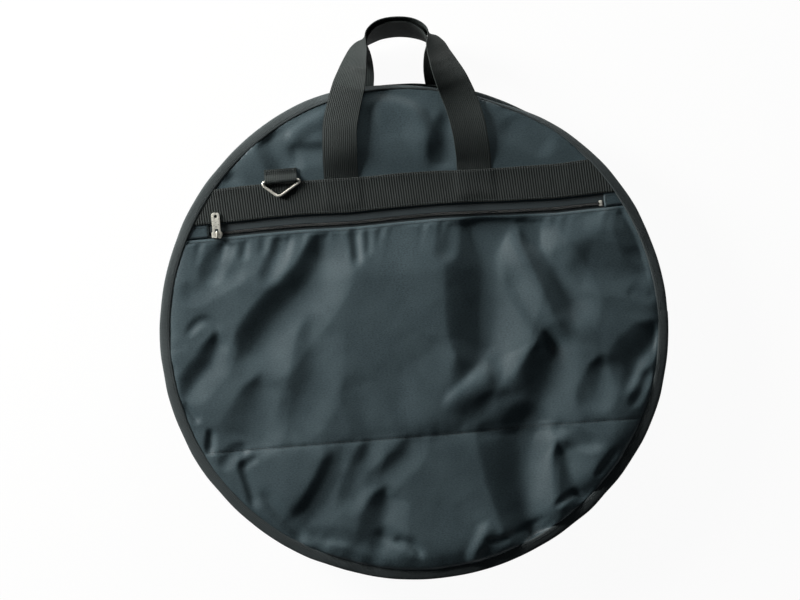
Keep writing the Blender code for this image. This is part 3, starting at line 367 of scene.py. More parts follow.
# Folds of the front cloth: points of the crease, how deep it is (less than 0 is a ridge), the widths of its
# slope on a walker's right and left, spread evenly from start to end, and how round its bottom is.
FOLDS = (
    (((-97, 134), (-99, 116), (-103, 97), (-110, 76), (-126, 56), (-146, 37), (-165, 18), (-182, -2),
     (-200, -19), (-218, -34)), 6.8, (12, 24, 32, 32, 26), (40, 50, 50), 0.4),
    (((-264, 12), (-256, 24), (-245, 32), (-235, 31), (-226, 22), (-221, 12)), 1.4, (9, 9), (7, 7), 0.3),
    (((-225, 24), (-229, 6), (-234, -8), (-240, -20), (-250, -30), (-262, -44), (-276, -66)),
     3.4, (6, 18, 20, 16), (26, 24), 0.2),
    (((-178, -30), (-180, -46), (-184, -68), (-188, -86), (-194, -106), (-200, -120), (-204, -134)),
     3.2, (10, 30, 42, 60), (34, 34), 0.5),
    (((-114, 34), (-117, 10), (-119, -16), (-122, -44), (-130, -66), (-146, -88), (-172, -104)),
     2.8, (14, 24, 30, 24), (36, 36), 0.5),
    (((-60, 132), (-60, 112), (-60, 92), (-61, 76)), 2.2, (7, 7), (9, 9), 0.35),
    (((-45, 130), (-45, 108), (-47, 88)), 1.2, (5, 5), (7, 7), 0.35),
    (((-78, -40), (-72, -66), (-66, -90), (-60, -112), (-55, -140)), 1.3, (20, 26), (30, 30), 0.6),
    (((96, -30), (80, -50), (60, -70), (42, -84), (14, -98), (-30, -108)), -3.2, (60, 70), (20, 34), 0.5),
    (((-112, -118), (-128, -150), (-146, -178), (-172, -208)), -2.6, (70, 56), (14, 14), 0.5),
    (((260, 150), (268, 116), (274, 84), (280, 50)), 4.4, (34, 30), (8, 8), 0.4),
    (((50, 134), (49, 114), (46, 96), (40, 72)), 2.4, (12, 15), (14, 14), 0.4),
    (((92, 184), (92, 150), (92, 122), (92, 96), (90, 70), (88, 46), (85, 20), (82, -5), (78, -26),
     (70, -44), (58, -58), (40, -82)), 10.6, (22, 38, 48, 50, 46, 36, 18), (74, 78, 56, 30), 0.2),
    (((24, -94), (42, -79), (60, -65), (74, -52), (86, -44)), -1.9, (24, 24), (10, 10), 0.4),
    (((82, -36), (92, -50), (98, -62), (101, -76), (101, -98)), 1.8, (8, 20, 22), (24, 24), 0.35),
    (((88, -76), (80, -94), (72, -114), (66, -138)), 1.2, (14, 22), (24, 24), 0.35),
    (((132, 130), (144, 106), (155, 84), (165, 62), (174, 40), (181, 20), (186, -4), (188, -24)),
     7.2, (12, 20, 23, 23, 20), (24, 34, 40), 0.2),
    (((115, 132), (118, 104), (126, 76), (140, 46), (158, 20), (176, -2), (187, -26), (188, -56),
     (182, -88)), -2.2, (26, 30, 34, 26), (12, 18, 20, 24, 24), 0.4),
    (((114, 70), (122, 44), (136, 14), (150, -12), (160, -34), (170, -56)), 2.0, (14, 14), (16, 16), 0.65),
    (((150, -4), (155, -20), (157, -38), (153, -60), (147, -80), (138, -98), (128, -114), (118, -136)),
     7.4, (8, 26, 36, 42, 52, 60), (54, 50), 0.2),
    (((217, -42), (214, -58), (209, -74), (201, -90), (186, -114)), 3.4, (10, 20, 22, 16), (26, 26), 0.4),
    (((290, 41), (262, 45), (240, 47), (214, 55), (180, 66)), 3.2, (30, 36, 34), (26, 30), 0.5),
    (((288, 20), (268, 19), (246, 27)), 1.2, (13, 13), (10, 10), 0.3),
    (((292, -8), (280, -28), (267, -44), (254, -56), (247, -72), (232, -94)), 4.8, (16, 32, 36, 32, 18),
     (10, 14, 18), 0.18),
    (((268, -62), (262, -78), (252, -96), (240, -112)), 2.6, (7, 10), (8, 8), 0.2),
    (((-205, 130), (-212, 112), (-224, 92), (-240, 70)), 2.2, (12, 19), (16, 16), 0.5),
    (((-141, 130), (-147, 108), (-158, 86), (-169, 62)), 2.2, (10, 14), (16, 16), 0.45),
    (((-190, 130), (-189, 110), (-192, 94)), 1.2, (6, 8), (8, 8), 0.4),
    (((-165, 128), (-166, 112), (-170, 98)), 0.9, (6, 7), (8, 8), 0.4),
    (((-277, -60), (-266, -74), (-256, -88)), 2.2, (7, 7), (8, 8), 0.2),
    (((-245, -92), (-247, -108), (-250, -126)), 2.6, (5, 6), (10, 10), 0.15),
    (((-200, -121), (-216, -122), (-226, -128), (-236, -146)), 2.0, (10, 12), (12, 12), 0.3),
    (((-192, -131), (-205, -136), (-214, -143)), 1.4, (6, 8), (7, 7), 0.3),
    (((-215, -130), (-213, -142), (-210, -156), (-206, -174), (-202, -196)), 2.4, (5, 6), (16, 18), 0.15),
    (((-94, -116), (-98, -144), (-106, -170), (-121, -192), (-138, -208), (-152, -228), (-168, -256)),
     2.3, (12, 24, 30, 28, 18), (26, 22), 0.22),
    (((-56, -118), (-69, -144), (-78, -166), (-88, -188), (-102, -212)), 2.6, (12, 19, 19), (22, 20), 0.5),
    (((-4, -116), (-23, -143), (-47, -164), (-74, -188)), 2.2, (14, 18), (22, 22), 0.55),
    (((-45, -174), (-50, -190), (-53, -206), (-56, -224), (-62, -272)), 4.4, (6, 26, 32, 32), (30, 30),
     0.15),
    (((-70, -236), (-50, -242), (-32, -251), (-12, -264)), 1.8, (9, 9), (15, 15), 0.25),
    (((126, -90), (122, -120), (118, -148), (114, -182), (114, -212), (117, -244), (122, -292)),
     10.4, (60, 62, 50, 38, 30, 24), (48, 36), 0.25),
    (((156, -138), (161, -156), (167, -174), (173, -194), (182, -226)), 6.2, (4, 18, 28, 30), (30, 34),
     0.2),
    (((148, -118), (168, -133), (188, -146), (210, -154)), 2.8, (12, 12), (14, 14), 0.3),
    (((40, -284), (52, -264), (62, -248), (72, -228)), -2.2, (10, 14), (10, 12), 0.3),
    (((-160, 244), (-147, 222), (-139, 204), (-134, 180)), 3.0, (16, 20), (28, 28), 0.5),
    (((-76, 217), (-104, 217), (-132, 220)), 2.4, (10, 10), (20, 20), 0.4),
    (((-132, 226), (-118, 238), (-98, 250), (-70, 262)), -1.4, (14, 14), (10, 10), 0.6),
    (((-206, 200), (-192, 182), (-184, 162)), 2.0, (14, 14), (14, 14), 0.5),
    (((-44, 262), (-20, 265), (4, 262), (23, 250), (31, 226), (27, 190)), -2.6, (30, 34, 28, 20),
     (14, 14, 16), 0.5),
    (((60, 262), (57, 240), (52, 213), (48, 180), (46, 150)), 2.4, (12, 18, 18), (20, 20), 0.4),
    (((120, 240), (136, 224), (160, 208), (176, 190)), 1.6, (18, 18), (22, 22), 0.6),
    (((-194, -166), (-186, -184), (-172, -206), (-158, -224), (-150, -244)), 2.2, (9, 12), (12, 12), 0.3),
    (((-150, -222), (-132, -234), (-108, -238), (-92, -244), (-74, -262)), 1.7, (8, 10), (16, 16), 0.3),
    (((-48, -246), (-34, -248), (-20, -256), (-12, -272)), 2.6, (5, 7), (10, 10), 0.1),
    (((58, -250), (76, -256), (96, -250), (116, -244), (142, -228)), 2.4, (7, 7), (7, 7), 0.1),
    (((146, -222), (158, -212), (172, -206), (182, -214)), 2.6, (6, 7), (6, 7), 0.1),
    (((196, -190), (212, -170), (226, -152)), 2.2, (5, 6), (6, 6), 0.1),
    (((-272, 58), (-240, 66), (-212, 80), (-180, 90)), 1.4, (16, 16), (18, 18), 0.6),
)


# How much deeper than listed the folds are drawn, how steeply a slope falls, and how the cloth rolls up
# beside a fold: by this share of its depth, as far as this many widths
FOLD_DEPTH = 1.42
FOLD_FALL = 1.22
ROLL_SHARE = 0.1
ROLL_REACH = 2.2


def fold_height(x, y, line, drop, right, left, roundness):
    """The height that one fold adds: nothing outside its slopes, and eased to nothing at its ends."""
    curve = rounded_line(line)
    reach = ROLL_REACH * max(*right, *left)
    near = ((x > curve[:, 0].min() - reach) & (x < curve[:, 0].max() + reach)
            & (y > curve[:, 1].min() - reach) & (y < curve[:, 1].max() + reach))
    height = np.zeros(x.shape)
    if not near.any():
        return height
    away, share = along_line(x[near], y[near], curve)
    ends = smooth(share / 0.22) * smooth((1 - share) / 0.26)
    on_right, on_left = [np.interp(share, np.linspace(0, 1, len(widths)), widths) * (0.6 + 0.4 * ends)
                         for widths in (right, left)]
    reached = np.abs(away) / np.where(away > 0, on_left, on_right)
    rise = np.sqrt(reached ** 2 + roundness ** 2) - roundness
    slope = np.clip(1 - rise / (math.sqrt(1 + roundness ** 2) - roundness), 0.0, 1.0) ** FOLD_FALL
    shady = away < 0 if drop > 0 else away > 0
    swell = ROLL_SHARE * np.where(shady, smooth(reached / 1.1) * smooth((ROLL_REACH - reached) / 1.2), 0.0)
    height[near] = -FOLD_DEPTH * drop * ((1 - 0.5 * ROLL_SHARE) * slope - swell) * ends
    return height


# The folds are summed on a grid of this pitch and half width, then blurred by so many cells
FOLD_GRID = 1.5
FOLD_REACH = 300.0
FOLD_BLUR = 1.1


def softened(values, radius):
    """Values of a grid, blurred by a bell curve of this radius in cells."""
    span = int(3 * radius) + 1
    curve = np.exp(-(np.arange(-span, span + 1) / radius) ** 2 / 2)
    curve /= curve.sum()
    for _ in range(2):
        values = np.apply_along_axis(np.convolve, 0, values, curve, "same").T
    return values


def fold_table():
    """The sum of all folds on an even grid, softened as stiff cloth rounds its creases."""
    steps = np.arange(-FOLD_REACH, FOLD_REACH + FOLD_GRID, FOLD_GRID)
    x, y = np.meshgrid(steps, steps, indexing="ij")
    return softened(sum(fold_height(x, y, *entry) for entry in FOLDS), FOLD_BLUR)


FOLD_TABLE = fold_table()


def fold_level(x, y):
    """Height that the folds add at a point."""
    u, v = [np.clip((c + FOLD_REACH) / FOLD_GRID, 0, FOLD_TABLE.shape[0] - 2) for c in (x, y)]
    i, j = np.floor(u).astype(int), np.floor(v).astype(int)
    return between_cells(FOLD_TABLE, i, j, u - i, v - j)


# Height of the padding's outer face, how much the crown rises below the hem and above the band, and the
# least room for cloth over the padding
PAD_LEVEL = 41.8
CROWN_BELOW = 7.2
CROWN_ABOVE = 6.4
PAD_CLEARANCE = 0.9


def front_level(x, y):
    """Height of the front cloth's outer face."""
    x, y = np.broadcast_arrays(np.asarray(x, float), np.asarray(y, float))
    radius = np.hypot(x, y)
    angle = np.degrees(np.arctan2(y, x))
    inset = np.clip(SEAM_RADIUS - radius, 0.0, None)
    rim_slack = ring_value(RIM_BULGE, angle)
    under_hem = HEM_STITCH_Y - y

    # The crown, low at the edge, along the sewn line and beside the band
    below_hem = smooth((HEM_Y - y) / (62.0 - 32.0 * smooth((x - 120.0) / 110.0)))
    above_band = smooth((y - BAND_HIGH + 20.0) / 74.0)
    dome = 1 - np.clip(1 - inset / ring_value(DOME_WIDTH, angle), 0.0, 1.0) ** 2
    crown = (CROWN_BELOW * below_hem + CROWN_ABOVE * above_band) * dome
    crown *= 1 - 0.12 * bell(y - SEAM_Y, 9.0)
    loose = np.clip(below_hem + above_band, 0.0, 1.0)

    # The folds, which flatten under the band and at the edge
    folds = fold_level(x, y)
    slack = smooth((HEM_Y + 2 - y) / 14.0) + smooth((y - BAND_HIGH + 2) / 16.0)
    near_seam = 1 - 0.12 * bell(y - SEAM_Y, 4.0)
    folds *= np.clip(0.10 + slack, 0.0, 1.0) * near_seam * smooth(inset / 9.0 + 0.12)

    # The slack rim, with short folds that run out to the seam
    reach = 8.0 + 2.0 * rim_slack
    bulge = rim_slack * (1.0 + 0.35 * line_noise(angle, 7.0, 11))
    swell = (inset / reach) * np.exp(1 - inset / reach)
    rim = bulge * swell * (smooth((HEM_Y - y) / 20.0) + 0.6 * smooth((y - BAND_HIGH) / 12.0))
    pinch = np.exp(-inset / 11.0) * (0.35 + 0.22 * rim_slack)
    radial = line_noise(angle * 4.95, 13.0, 21) * pinch * smooth(inset / 3.0) * loose

    # Puckers and the sunk stitches at the hem and the sewn line
    hem = np.exp(-np.clip(under_hem, 0, 400) / 13.0) * (y < HEM_STITCH_Y)
    puckers = 1.1 * hem * line_noise(x + 0.3 * under_hem, 7.0, 31) * smooth(under_hem / 4.0)
    puckers += 0.45 * np.exp(-np.abs(y - SEAM_Y) / 9.0) * line_noise(x, 9.0, 41)
    puckers -= 0.7 * bell(y - SEAM_Y, 1.5)
    puckers -= 0.45 * bell(y - HEM_STITCH_Y, 1.2)
    small = (0.55 * soft_noise(x, y, 46.0, 51) + 0.20 * soft_noise(x, y, 19.0, 52)
             + 0.07 * soft_noise(x, y, 8.0, 53)) * (0.15 + 0.85 * loose)

    # The cloth nears the padding softly and never reaches it
    level = FRONT - 0.1 + crown + folds + rim + radial + puckers + small
    floor = pad_level(x, y) + PAD_CLEARANCE
    gap = level - floor
    return floor + np.where(gap > 1.5, gap, 1.5 * np.exp(np.minimum(gap, 1.5) / 1.5 - 1))


def pad_level(x, y):
    """Height of the front padding's outer face, under the cloth."""
    dome = 1 - np.clip(np.hypot(x, y) / SEAM_RADIUS, 0, 1) ** 4
    return PAD_LEVEL + 1.4 * dome * (1 - bell(y - ZIP_Y, 60.0))


# How far the zip and the band wander from their straight line, by x
LINE_SHIFT = ((-260, 0.0), (-219, 0.0), (-170, 1.6), (-122, 2.4), (-60, 0.8), (0, 2.6), (40, 3.0),
              (80, 1.6), (120, -0.8), (175, -2.6), (219, -1.0), (260, -0.6))


def settle(x, y, z, front_share=1.0, overhang=True):
    """Where a point of the flat plan comes to lie: the slack rim and the stretched lines."""
    x, y, z = [np.asarray(v, float) for v in np.broadcast_arrays(x, y, z)]
    radius = np.maximum(np.hypot(x, y), 1e-6)
    angle = np.degrees(np.arctan2(y, x))
    inset = SEAM_RADIUS - radius
    push = ring_value(FOOT_PUSH, angle) + front_share * ring_value(TOP_PUSH, angle)
    push = push * smooth((radius - 120.0) / 160.0)
    if overhang:
        lean = np.clip(ring_value(RIM_BULGE, angle) - 1.2, 0, 4)
        push = push + lean * 0.9 * bell(inset - 5.5, 3.4) * smooth(inset / 3.0)
    shift = np.interp(x, *zip(*LINE_SHIFT))
    taut = bell(y - 150.0, 62.0) * smooth(inset / 24.0)
    return stacked(x + x / radius * push, y + y / radius * push + shift * taut, z)


def on_front(x, y, lift=0.0):
    """A point on the front cloth, lifted off it."""
    return settle(x, y, front_level(x, y) + lift)


# Mesh makers

def finish_mesh(name, mesh, material, slot):
    """Make the object, smooth it and give it its finish."""
    thing = add_object(name, mesh)
    mesh.materials.clear()
    mesh.materials.append(material)
    mesh.polygons.foreach_set("use_smooth", [True] * len(mesh.polygons))
    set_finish(thing, slot)
    return thing


def mesh_from(name, points, faces, uvs=None):
    """A mesh from points in millimetres and faces, with a UV map in millimetres per face corner."""
    mesh = bpy.data.meshes.new(name)
    mesh.from_pydata((np.asarray(points) * MM).tolist(), [], faces)
    if uvs is not None:
        layer = mesh.uv_layers.new(name="cloth_mm")
        layer.data.foreach_set("uv", np.asarray(uvs, np.float32).ravel())
    return mesh


def grid_piece(name, points, uv, material, slot, closed_u=False, closed_v=False, thickness=0.0, offset=-1.0):
    """A sheet from rows and columns of points. uv goes one place past the points in a closed direction."""
    points = np.asarray(points, float)
    rows, columns = points.shape[:2]
    i, j = np.meshgrid(np.arange(rows - (not closed_u)), np.arange(columns - (not closed_v)), indexing="ij")
    i, j = i.ravel(), j.ravel()
    i2, j2 = (i + 1) % rows, (j + 1) % columns
    faces = np.stack([i * columns + j, i2 * columns + j, i2 * columns + j2, i * columns + j2], axis=1)
    corners = np.stack([uv[i, j], uv[i + 1, j], uv[i + 1, j + 1], uv[i, j + 1]], axis=1)
    mesh = mesh_from(name, points.reshape(-1, 3), faces.tolist(), corners.reshape(-1, 2))
    thing = finish_mesh(name, mesh, material, slot)
    if thickness:
        thicken(thing, thickness, offset)
    return thing


def thicken(thing, thickness, offset=-1.0):
    """Give a sheet its cloth thickness."""
    step = thing.modifiers.new("thickness", "SOLIDIFY")
    step.thickness = thickness * MM
    step.offset = offset


def cut_sheet(name, outline, inside, spacing, place, material, slot, thickness, offset=-1.0):
    """A sheet cut to an outline and filled with even triangles. place gives each flat point its 3D place."""
    outline = np.asarray(outline, float)
    low, high = outline.min(axis=0), outline.max(axis=0)
    rise = spacing * math.sqrt(0.75)
    inner = [stacked(np.arange(low[0] + (k % 2) * spacing / 2, high[0], spacing), row)
             for k, row in enumerate(np.arange(low[1] + rise / 2, high[1], rise))]
    inner = np.concatenate(inner)
    inner = inner[inside(inner[:, 0], inner[:, 1], spacing * 0.62)]
    flat = np.concatenate([outline, inner])
    edge = list(range(len(outline)))
    points, _, faces, *_ = geometry.delaunay_2d_cdt([Vector(p) for p in flat.tolist()], [], [edge], 1, 1e-5)
    flat = np.array([tuple(p) for p in points])
    corners = flat[np.array(faces).ravel()]
    mesh = mesh_from(name, place(flat[:, 0], flat[:, 1]), [list(f) for f in faces], corners)
    thing = finish_mesh(name, mesh, material, slot)
    thicken(thing, thickness, offset)
    return thing


# A bead's rings along its length, with their widths, and the sides of each
BEAD_RINGS = ((-0.62, 0.78), (0.0, 1.0), (0.62, 0.78))
BEAD_SIDES = 6
THREAD_HALF = 0.26


def beads(name, centres, along, up, sizes, material, slot):
    """Many small rounded beads in one mesh: thread stitches or zip teeth. sizes are half lengths."""
    centres = np.asarray(centres, float)
    along = np.asarray(along, float)
    along = along / np.linalg.norm(along, axis=-1, keepdims=True)
    side = np.cross(np.broadcast_to(up, along.shape), along)
    side = side / np.linalg.norm(side, axis=-1, keepdims=True)
    high = np.cross(along, side)
    turns = np.arange(BEAD_SIDES) * 2 * math.pi / BEAD_SIDES
    template = [(-1.0, 0.0, 0.0)]
    for reach, wide in BEAD_RINGS:
        template += [(reach, wide * math.cos(t), wide * math.sin(t)) for t in turns]
    template.append((1.0, 0.0, 0.0))
    template = np.array(template) * np.asarray(sizes, float)
    points = (centres[:, None, :] + template[None, :, :1] * along[:, None, :]
              + template[None, :, 1:2] * side[:, None, :] + template[None, :, 2:] * high[:, None, :])
    last = len(template) - 1
    rings = range(1, last, BEAD_SIDES)
    faces = []
    for k in range(BEAD_SIDES):
        n = (k + 1) % BEAD_SIDES
        faces.append((0, 1 + n, 1 + k))
        faces += [(a + k, a + n, a + n + BEAD_SIDES, a + k + BEAD_SIDES) for a in rings[:-1]]
        faces.append((rings[-1] + k, rings[-1] + n, last))
    everything = [tuple(c + m * len(template) for c in f) for m in range(len(centres)) for f in faces]
    return finish_mesh(name, mesh_from(name, points.reshape(-1, 3), everything), material, slot)


def stitch_row(name, points, pitch=3.2, length=2.3, slot="shell_cloth"):
    """A row of thread stitches along a 3D line, each tapering to its ends."""
    points = np.asarray(points, float)
    reached = path_lengths(points)
    starts = np.arange(pitch / 2, reached[-1] - pitch, pitch)
    first, second = [np.stack([np.interp(at, reached, points[:, k]) for k in range(3)], axis=1)
                     for at in (starts, starts + length)]
    return beads(name, (first + second) / 2, second - first, (0, 0, 1),
                 (length / 2, THREAD_HALF, THREAD_HALF), THREAD, slot)


def joined(name, parts):
    """Several meshes as one object."""
    material, slot = parts[0].data.materials[0], parts[0]["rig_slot"]
    work = bmesh.new()
    for part in parts:
        graph = bpy.context.evaluated_depsgraph_get()
        bpy.context.view_layer.update()
        mesh = bpy.data.meshes.new_from_object(part.evaluated_get(graph))
        mesh.transform(part.matrix_world)
        work.from_mesh(mesh)
        bpy.data.objects.remove(part, do_unlink=True)
    mesh = bpy.data.meshes.new(name)
    work.to_mesh(mesh)
    work.free()
    return finish_mesh(name, mesh, material, slot)


def bend_at_seam(*things):
    """Bake each object's place into its mesh."""
    for thing in things:
        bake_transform(thing)


# The front

def straight(start, end, spacing):
    """Even steps from one point to another, without the first."""
    count = max(1, int(math.dist(start, end) / spacing))
    return [tuple(a + (b - a) * k / count for a, b in zip(start, end)) for k in range(1, count + 1)]


def disc_outline(radius, low, high, spacing):
    """The edge of a disc between two heights, anticlockwise."""
    start, end = math.asin(max(low / radius, -1)), math.asin(min(high / radius, 1))
    count = max(2, int(radius * (end - start) / spacing))
    right = [(radius * math.cos(a), radius * math.sin(a)) for a in np.linspace(start, end, count)]
    left = [(-x, y) for x, y in reversed(right)]
    outline = right + straight(right[-1], left[0], spacing)[:-1]
    outline += left + straight(left[-1], right[0], spacing)[:-1]
    clean = [outline[0]]
    for point in outline[1:]:
        if math.dist(point, clean[-1]) > spacing * 0.3:
            clean.append(point)
    if math.dist(clean[0], clean[-1]) < spacing * 0.3:
        clean.pop()
    return clean


def in_disc(radius):
    """Whether a point lies in a disc, by more than a margin."""
    return lambda x, y, margin: np.hypot(x, y) < radius - margin


def cut_disc(name, radius, spacing, place, material, slot, thickness, offset=-1.0):
    """A whole disc of cloth or padding."""
    outline = disc_outline(radius, -radius, radius, spacing)
    return cut_sheet(name, outline, in_disc(radius), spacing, place, material, slot, thickness, offset)


# The cloth's cut edge, the side of its triangles, and the range and step of the rows sewn across it
CLOTH_EDGE = SEAM_RADIUS + 0.8
FINE = 2.2
ROW_END = 252.0
ROW_STEP = 1.5


def front_cloth():
    """The pocket's cloth and the panel below the sewn line, as one sheet with its folds."""
    def inside(x, y, margin):
        return in_disc(CLOTH_EDGE)(x, y, margin) & (y < HEM_Y - margin)

    outline = disc_outline(CLOTH_EDGE, -CLOTH_EDGE, HEM_Y, FINE)
    sheet = cut_sheet("front_cloth", outline, inside, FINE, on_front, POLYESTER, "shell_cloth", CLOTH)
    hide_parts("pocket_front", "front_lower_panel")
    across = np.arange(-ROW_END + 1, ROW_END - 1, ROW_STEP)
    rows = [stitch_row("seam_row_%d" % k, on_front(across, SEAM_Y + off, 0.1))
            for k, off in enumerate((1.0, -1.1))]
    bend_at_seam(sheet, joined("seam_stitches", rows))
    hem = stitch_row("hem_stitches", on_front(np.arange(-ROW_END, ROW_END, ROW_STEP), HEM_STITCH_Y, 0.1))
    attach(hem, "front_flap")
    return sheet


def top_cloth():
    """The panel above the band, which also closes over both ends of the pocket's zip."""
    spacing = 3.0
    low, shoulder = HEM_Y + 0.5, 141.0
    left, right = ZIP_LEFT - 8.0, ZIP_RIGHT + 6.5
    outline = [p for p in disc_outline(CLOTH_EDGE, low, CLOTH_EDGE, spacing)
               if math.hypot(*p) > CLOTH_EDGE - 0.1]
    outline.sort(key=lambda p: math.atan2(p[1], p[0]))
    for corner in ((left, low), (left, shoulder), (right, shoulder), (right, low), outline[0]):
        outline += straight(outline[-1], corner, spacing)
    outline.pop()

    def inside(x, y, margin):
        ends = (y > low + margin) & ((x < left - margin) | (x > right + margin))
        return in_disc(CLOTH_EDGE)(x, y, margin) & ((y > shoulder + margin) | ends)

    sheet = cut_sheet("top_cloth", outline, inside, spacing, lambda x, y: on_front(x, y, 0.15), POLYESTER,
                      "shell_cloth", CLOTH)
    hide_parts("front_top_panel")
    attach(sheet, "front_flap")
    first, last = left - 2.0, right + 2.0
    rows = [stitch_row("zip_end_row_%d" % k, on_front(x, np.arange(low + 1.0, shoulder + 1.0, 0.8), 0.3))
            for k, x in enumerate((first, last))]
    for k, (start, end) in enumerate(((-ROW_END, first), (last, ROW_END))):
        across = np.arange(start, end, 1.0)
        rows += [stitch_row("zip_end_line_%d_%d" % (k, m), on_front(across, y, 0.3))
                 for m, y in enumerate((low + 2.5, 138.5))]
    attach(joined("zip_end_stitches", rows), "front_flap")
    return sheet


def band_line(x):
    """Top of the webbing band at x, held inside the seam circle."""
    return np.minimum(BAND_HIGH, np.sqrt(np.maximum((SEAM_RADIUS + 0.5) ** 2 - x ** 2, BAND_LOW ** 2)))


LEG_CENTRES = (-70.3, 84.3)
RIB_PITCH = 2.9


def band_height(x, y):
    """Lift of the band over the cloth: it rises over the handle's ends sewn beneath it."""
    over = sum(smooth((27.0 - np.abs(x - c)) / 10.0) for c in LEG_CENTRES) * smooth((y - 146.0) / 6.0)
    return 1.7 + 0.9 * over


def front_band():
    """The wide webbing band, with its cross ribs as real ridges."""
    edge = math.sqrt((SEAM_RADIUS + 0.5) ** 2 - BAND_LOW ** 2) - 0.5
    x = np.arange(-edge, edge, RIB_PITCH / 5)
    shares = np.concatenate([[0.0, 0.015], np.linspace(0.05, 0.95, 13), [0.985, 1.0]])
    grid_x, share = np.meshgrid(x, shares, indexing="ij")
    grid_y = BAND_LOW + (band_line(grid_x) - BAND_LOW) * share
    inward = np.minimum(grid_y - BAND_LOW, band_line(grid_x) - grid_y)
    slant = grid_x + 0.06 * (grid_y - BAND_LOW)
    ribs = 0.17 * np.sin(2 * math.pi * slant / RIB_PITCH) * smooth(inward / 2.0)
    wander = 0.35 * line_noise(grid_x, 37.0, 61) * (share - 0.5) * 2
    lift = band_height(grid_x, grid_y) + ribs - 0.35 * (1 - smooth(inward / 1.2))
    points = on_front(grid_x, grid_y + wander, lift)
    band = grid_piece("front_band_webbing", points, stacked(slant, grid_y), BAND_WEBBING, "webbing",
                      thickness=1.3)
    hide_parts("front_band")
    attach(band, "front_flap")
    across = np.arange(-240.0, 241.0, ROW_STEP)
    rows = []
    for k, y in enumerate((BAND_LOW + 2.6, BAND_HIGH - 2.6)):
        inside = across[np.hypot(across, y) < SEAM_RADIUS - 3]
        rows.append(stitch_row("band_row_%d" % k, on_front(inside, y, band_height(inside, y) + 0.12)))
    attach(joined("band_stitches", rows), "front_flap")


def zip_half(where, side, body, tape, offset, centres, along, up, sizes):
    """One side of a zip: its tape, from points and UV places, and a tooth at each centre."""
    cloth = grid_piece(where + "_tape_" + side, *tape, ZIP_TAPE, "zip_tape", thickness=0.5, offset=offset)
    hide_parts(where + "_zip_tape_" + side)
    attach(cloth, body)
    along = np.tile(along, (len(centres), 1))
    coil = beads(where + "_coil_" + side, centres, along, up, sizes, COIL, "zip_coil")
    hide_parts(where + "_zip_coil_" + side)
    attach(coil, body)


# The hidden edges of the pocket's tapes, the gap from tape to zip line, and the teeth's pitch
TAPE_LOW = 112.0
TAPE_HIGH = 148.0
TAPE_GAP = 1.7
POCKET_PITCH = 1.7


def pocket_zip():
    """The pocket zip's tapes and its coil of teeth."""
    edge = math.sqrt(SEAM_RADIUS ** 2 - TAPE_HIGH ** 2) - 1.0
    for side, sign, low, high in (("upper", 1, ZIP_Y + TAPE_GAP, TAPE_HIGH),
                                  ("lower", -1, TAPE_LOW, ZIP_Y - TAPE_GAP)):
        x, y = np.meshgrid(np.arange(-edge, edge, 2.0), np.linspace(low, high, 12), indexing="ij")
        lift = -0.75 + 0.25 * (1 - smooth(np.abs(y - ZIP_Y) - TAPE_GAP))
        teeth_x = np.arange(ZIP_LEFT - 5.0, ZIP_RIGHT, POCKET_PITCH) + (POCKET_PITCH / 2 if sign > 0 else 0)
        zip_half("pocket", side, "front_flap", (on_front(x, y, lift), stacked(x, y)), -1.0,
                 on_front(teeth_x, ZIP_Y + sign * 0.75, -0.2), (0.0, 1.0, 0.0), (0, 0, 1), (1.45, 0.5, 0.85))
    across = np.arange(ZIP_LEFT - 6.0, ZIP_RIGHT + 4.0, ROW_STEP)
    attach(stitch_row("tape_stitches", on_front(across, 138.6, -0.65), slot="zip_tape"), "front_flap")


# The folded tape's section: how far out from the seam and how high over its middle, and its girth
BINDING_SECTION = ((-1.4, 0.9), (-1.0, 1.45), (0.6, 1.68), (3.5, 1.8), (7.0, 1.75), (9.4, 1.45),
                   (10.6, 0.85), (11.0, 0.0), (10.6, -0.85), (9.4, -1.45), (7.0, -1.7), (3.5, -1.7),
                   (0.6, -1.6), (-1.0, -1.4), (-1.4, -0.9))
BINDING_GIRTH = 36.0
BINDING_RIB = 1.5


def binding_ring(name, level, tilt, lift, downwards, front_share, seed):
    """A folded tape round the seam circle, tilted by angle. Its ribs follow it round."""
    def place(out, high, lean, angle):
        """Where a point of the section comes to lie."""
        radius = SEAM_RADIUS + out * np.cos(lean) + high * np.sin(lean)
        z = level + ring_value(lift, angle) - out * np.sin(lean) + high * np.cos(lean)
        turn = np.radians(angle)
        return settle(radius * np.cos(turn), radius * np.sin(turn), z, front_share, overhang=False)

    count = 900
    angle = np.arange(count) * 360.0 / count
    section = np.array(BINDING_SECTION)
    lean = np.radians(ring_value(tilt, angle) + 3.0 * line_noise(angle, 9.0, seed)) * downwards
    wide = 1 + 0.05 * line_noise(angle, 5.0, seed + 1)
    out = section[None, :, 0] * wide[:, None]
    high = section[None, :, 1] + 0.25 * line_noise(angle, 4.0, seed + 2)[:, None] * (section[None, :, 0] > 2)
    closed = np.append(angle, 360.0)
    along = closed / 360.0 * round(2 * math.pi * SEAM_RADIUS / BINDING_RIB) * BINDING_RIB
    uv = stacked(along[:, None], np.append(path_lengths(section), BINDING_GIRTH)[None, :])
    ring = grid_piece(name, place(out, high, lean[:, None], angle[:, None]), uv, BINDING, "binding_tape",
                      closed_u=True, closed_v=True)
    row = place(2.2, 1.78, np.append(lean, lean[0]), closed)
    return ring, stitch_row(name + "_stitches", row, slot="binding_tape")


def bindings():
    """The bound edges of the front and the back."""
    front, stitches = binding_ring("front_binding", 50.35, FRONT_TILT, BAND_LIFT, 1.0, 1.0, 71)
    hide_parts("front_binding_upper", "front_binding_lower")
    bend_at_seam(front, stitches)
    plain = ring_table(((0, 0.0), (360, 0.0)))
    back, stitches = binding_ring("rear_binding", 3.85, BACK_TILT, plain, -1.0, 0.0, 81)
    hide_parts("back_binding")
    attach(back, "case")
    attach(stitches, "case")


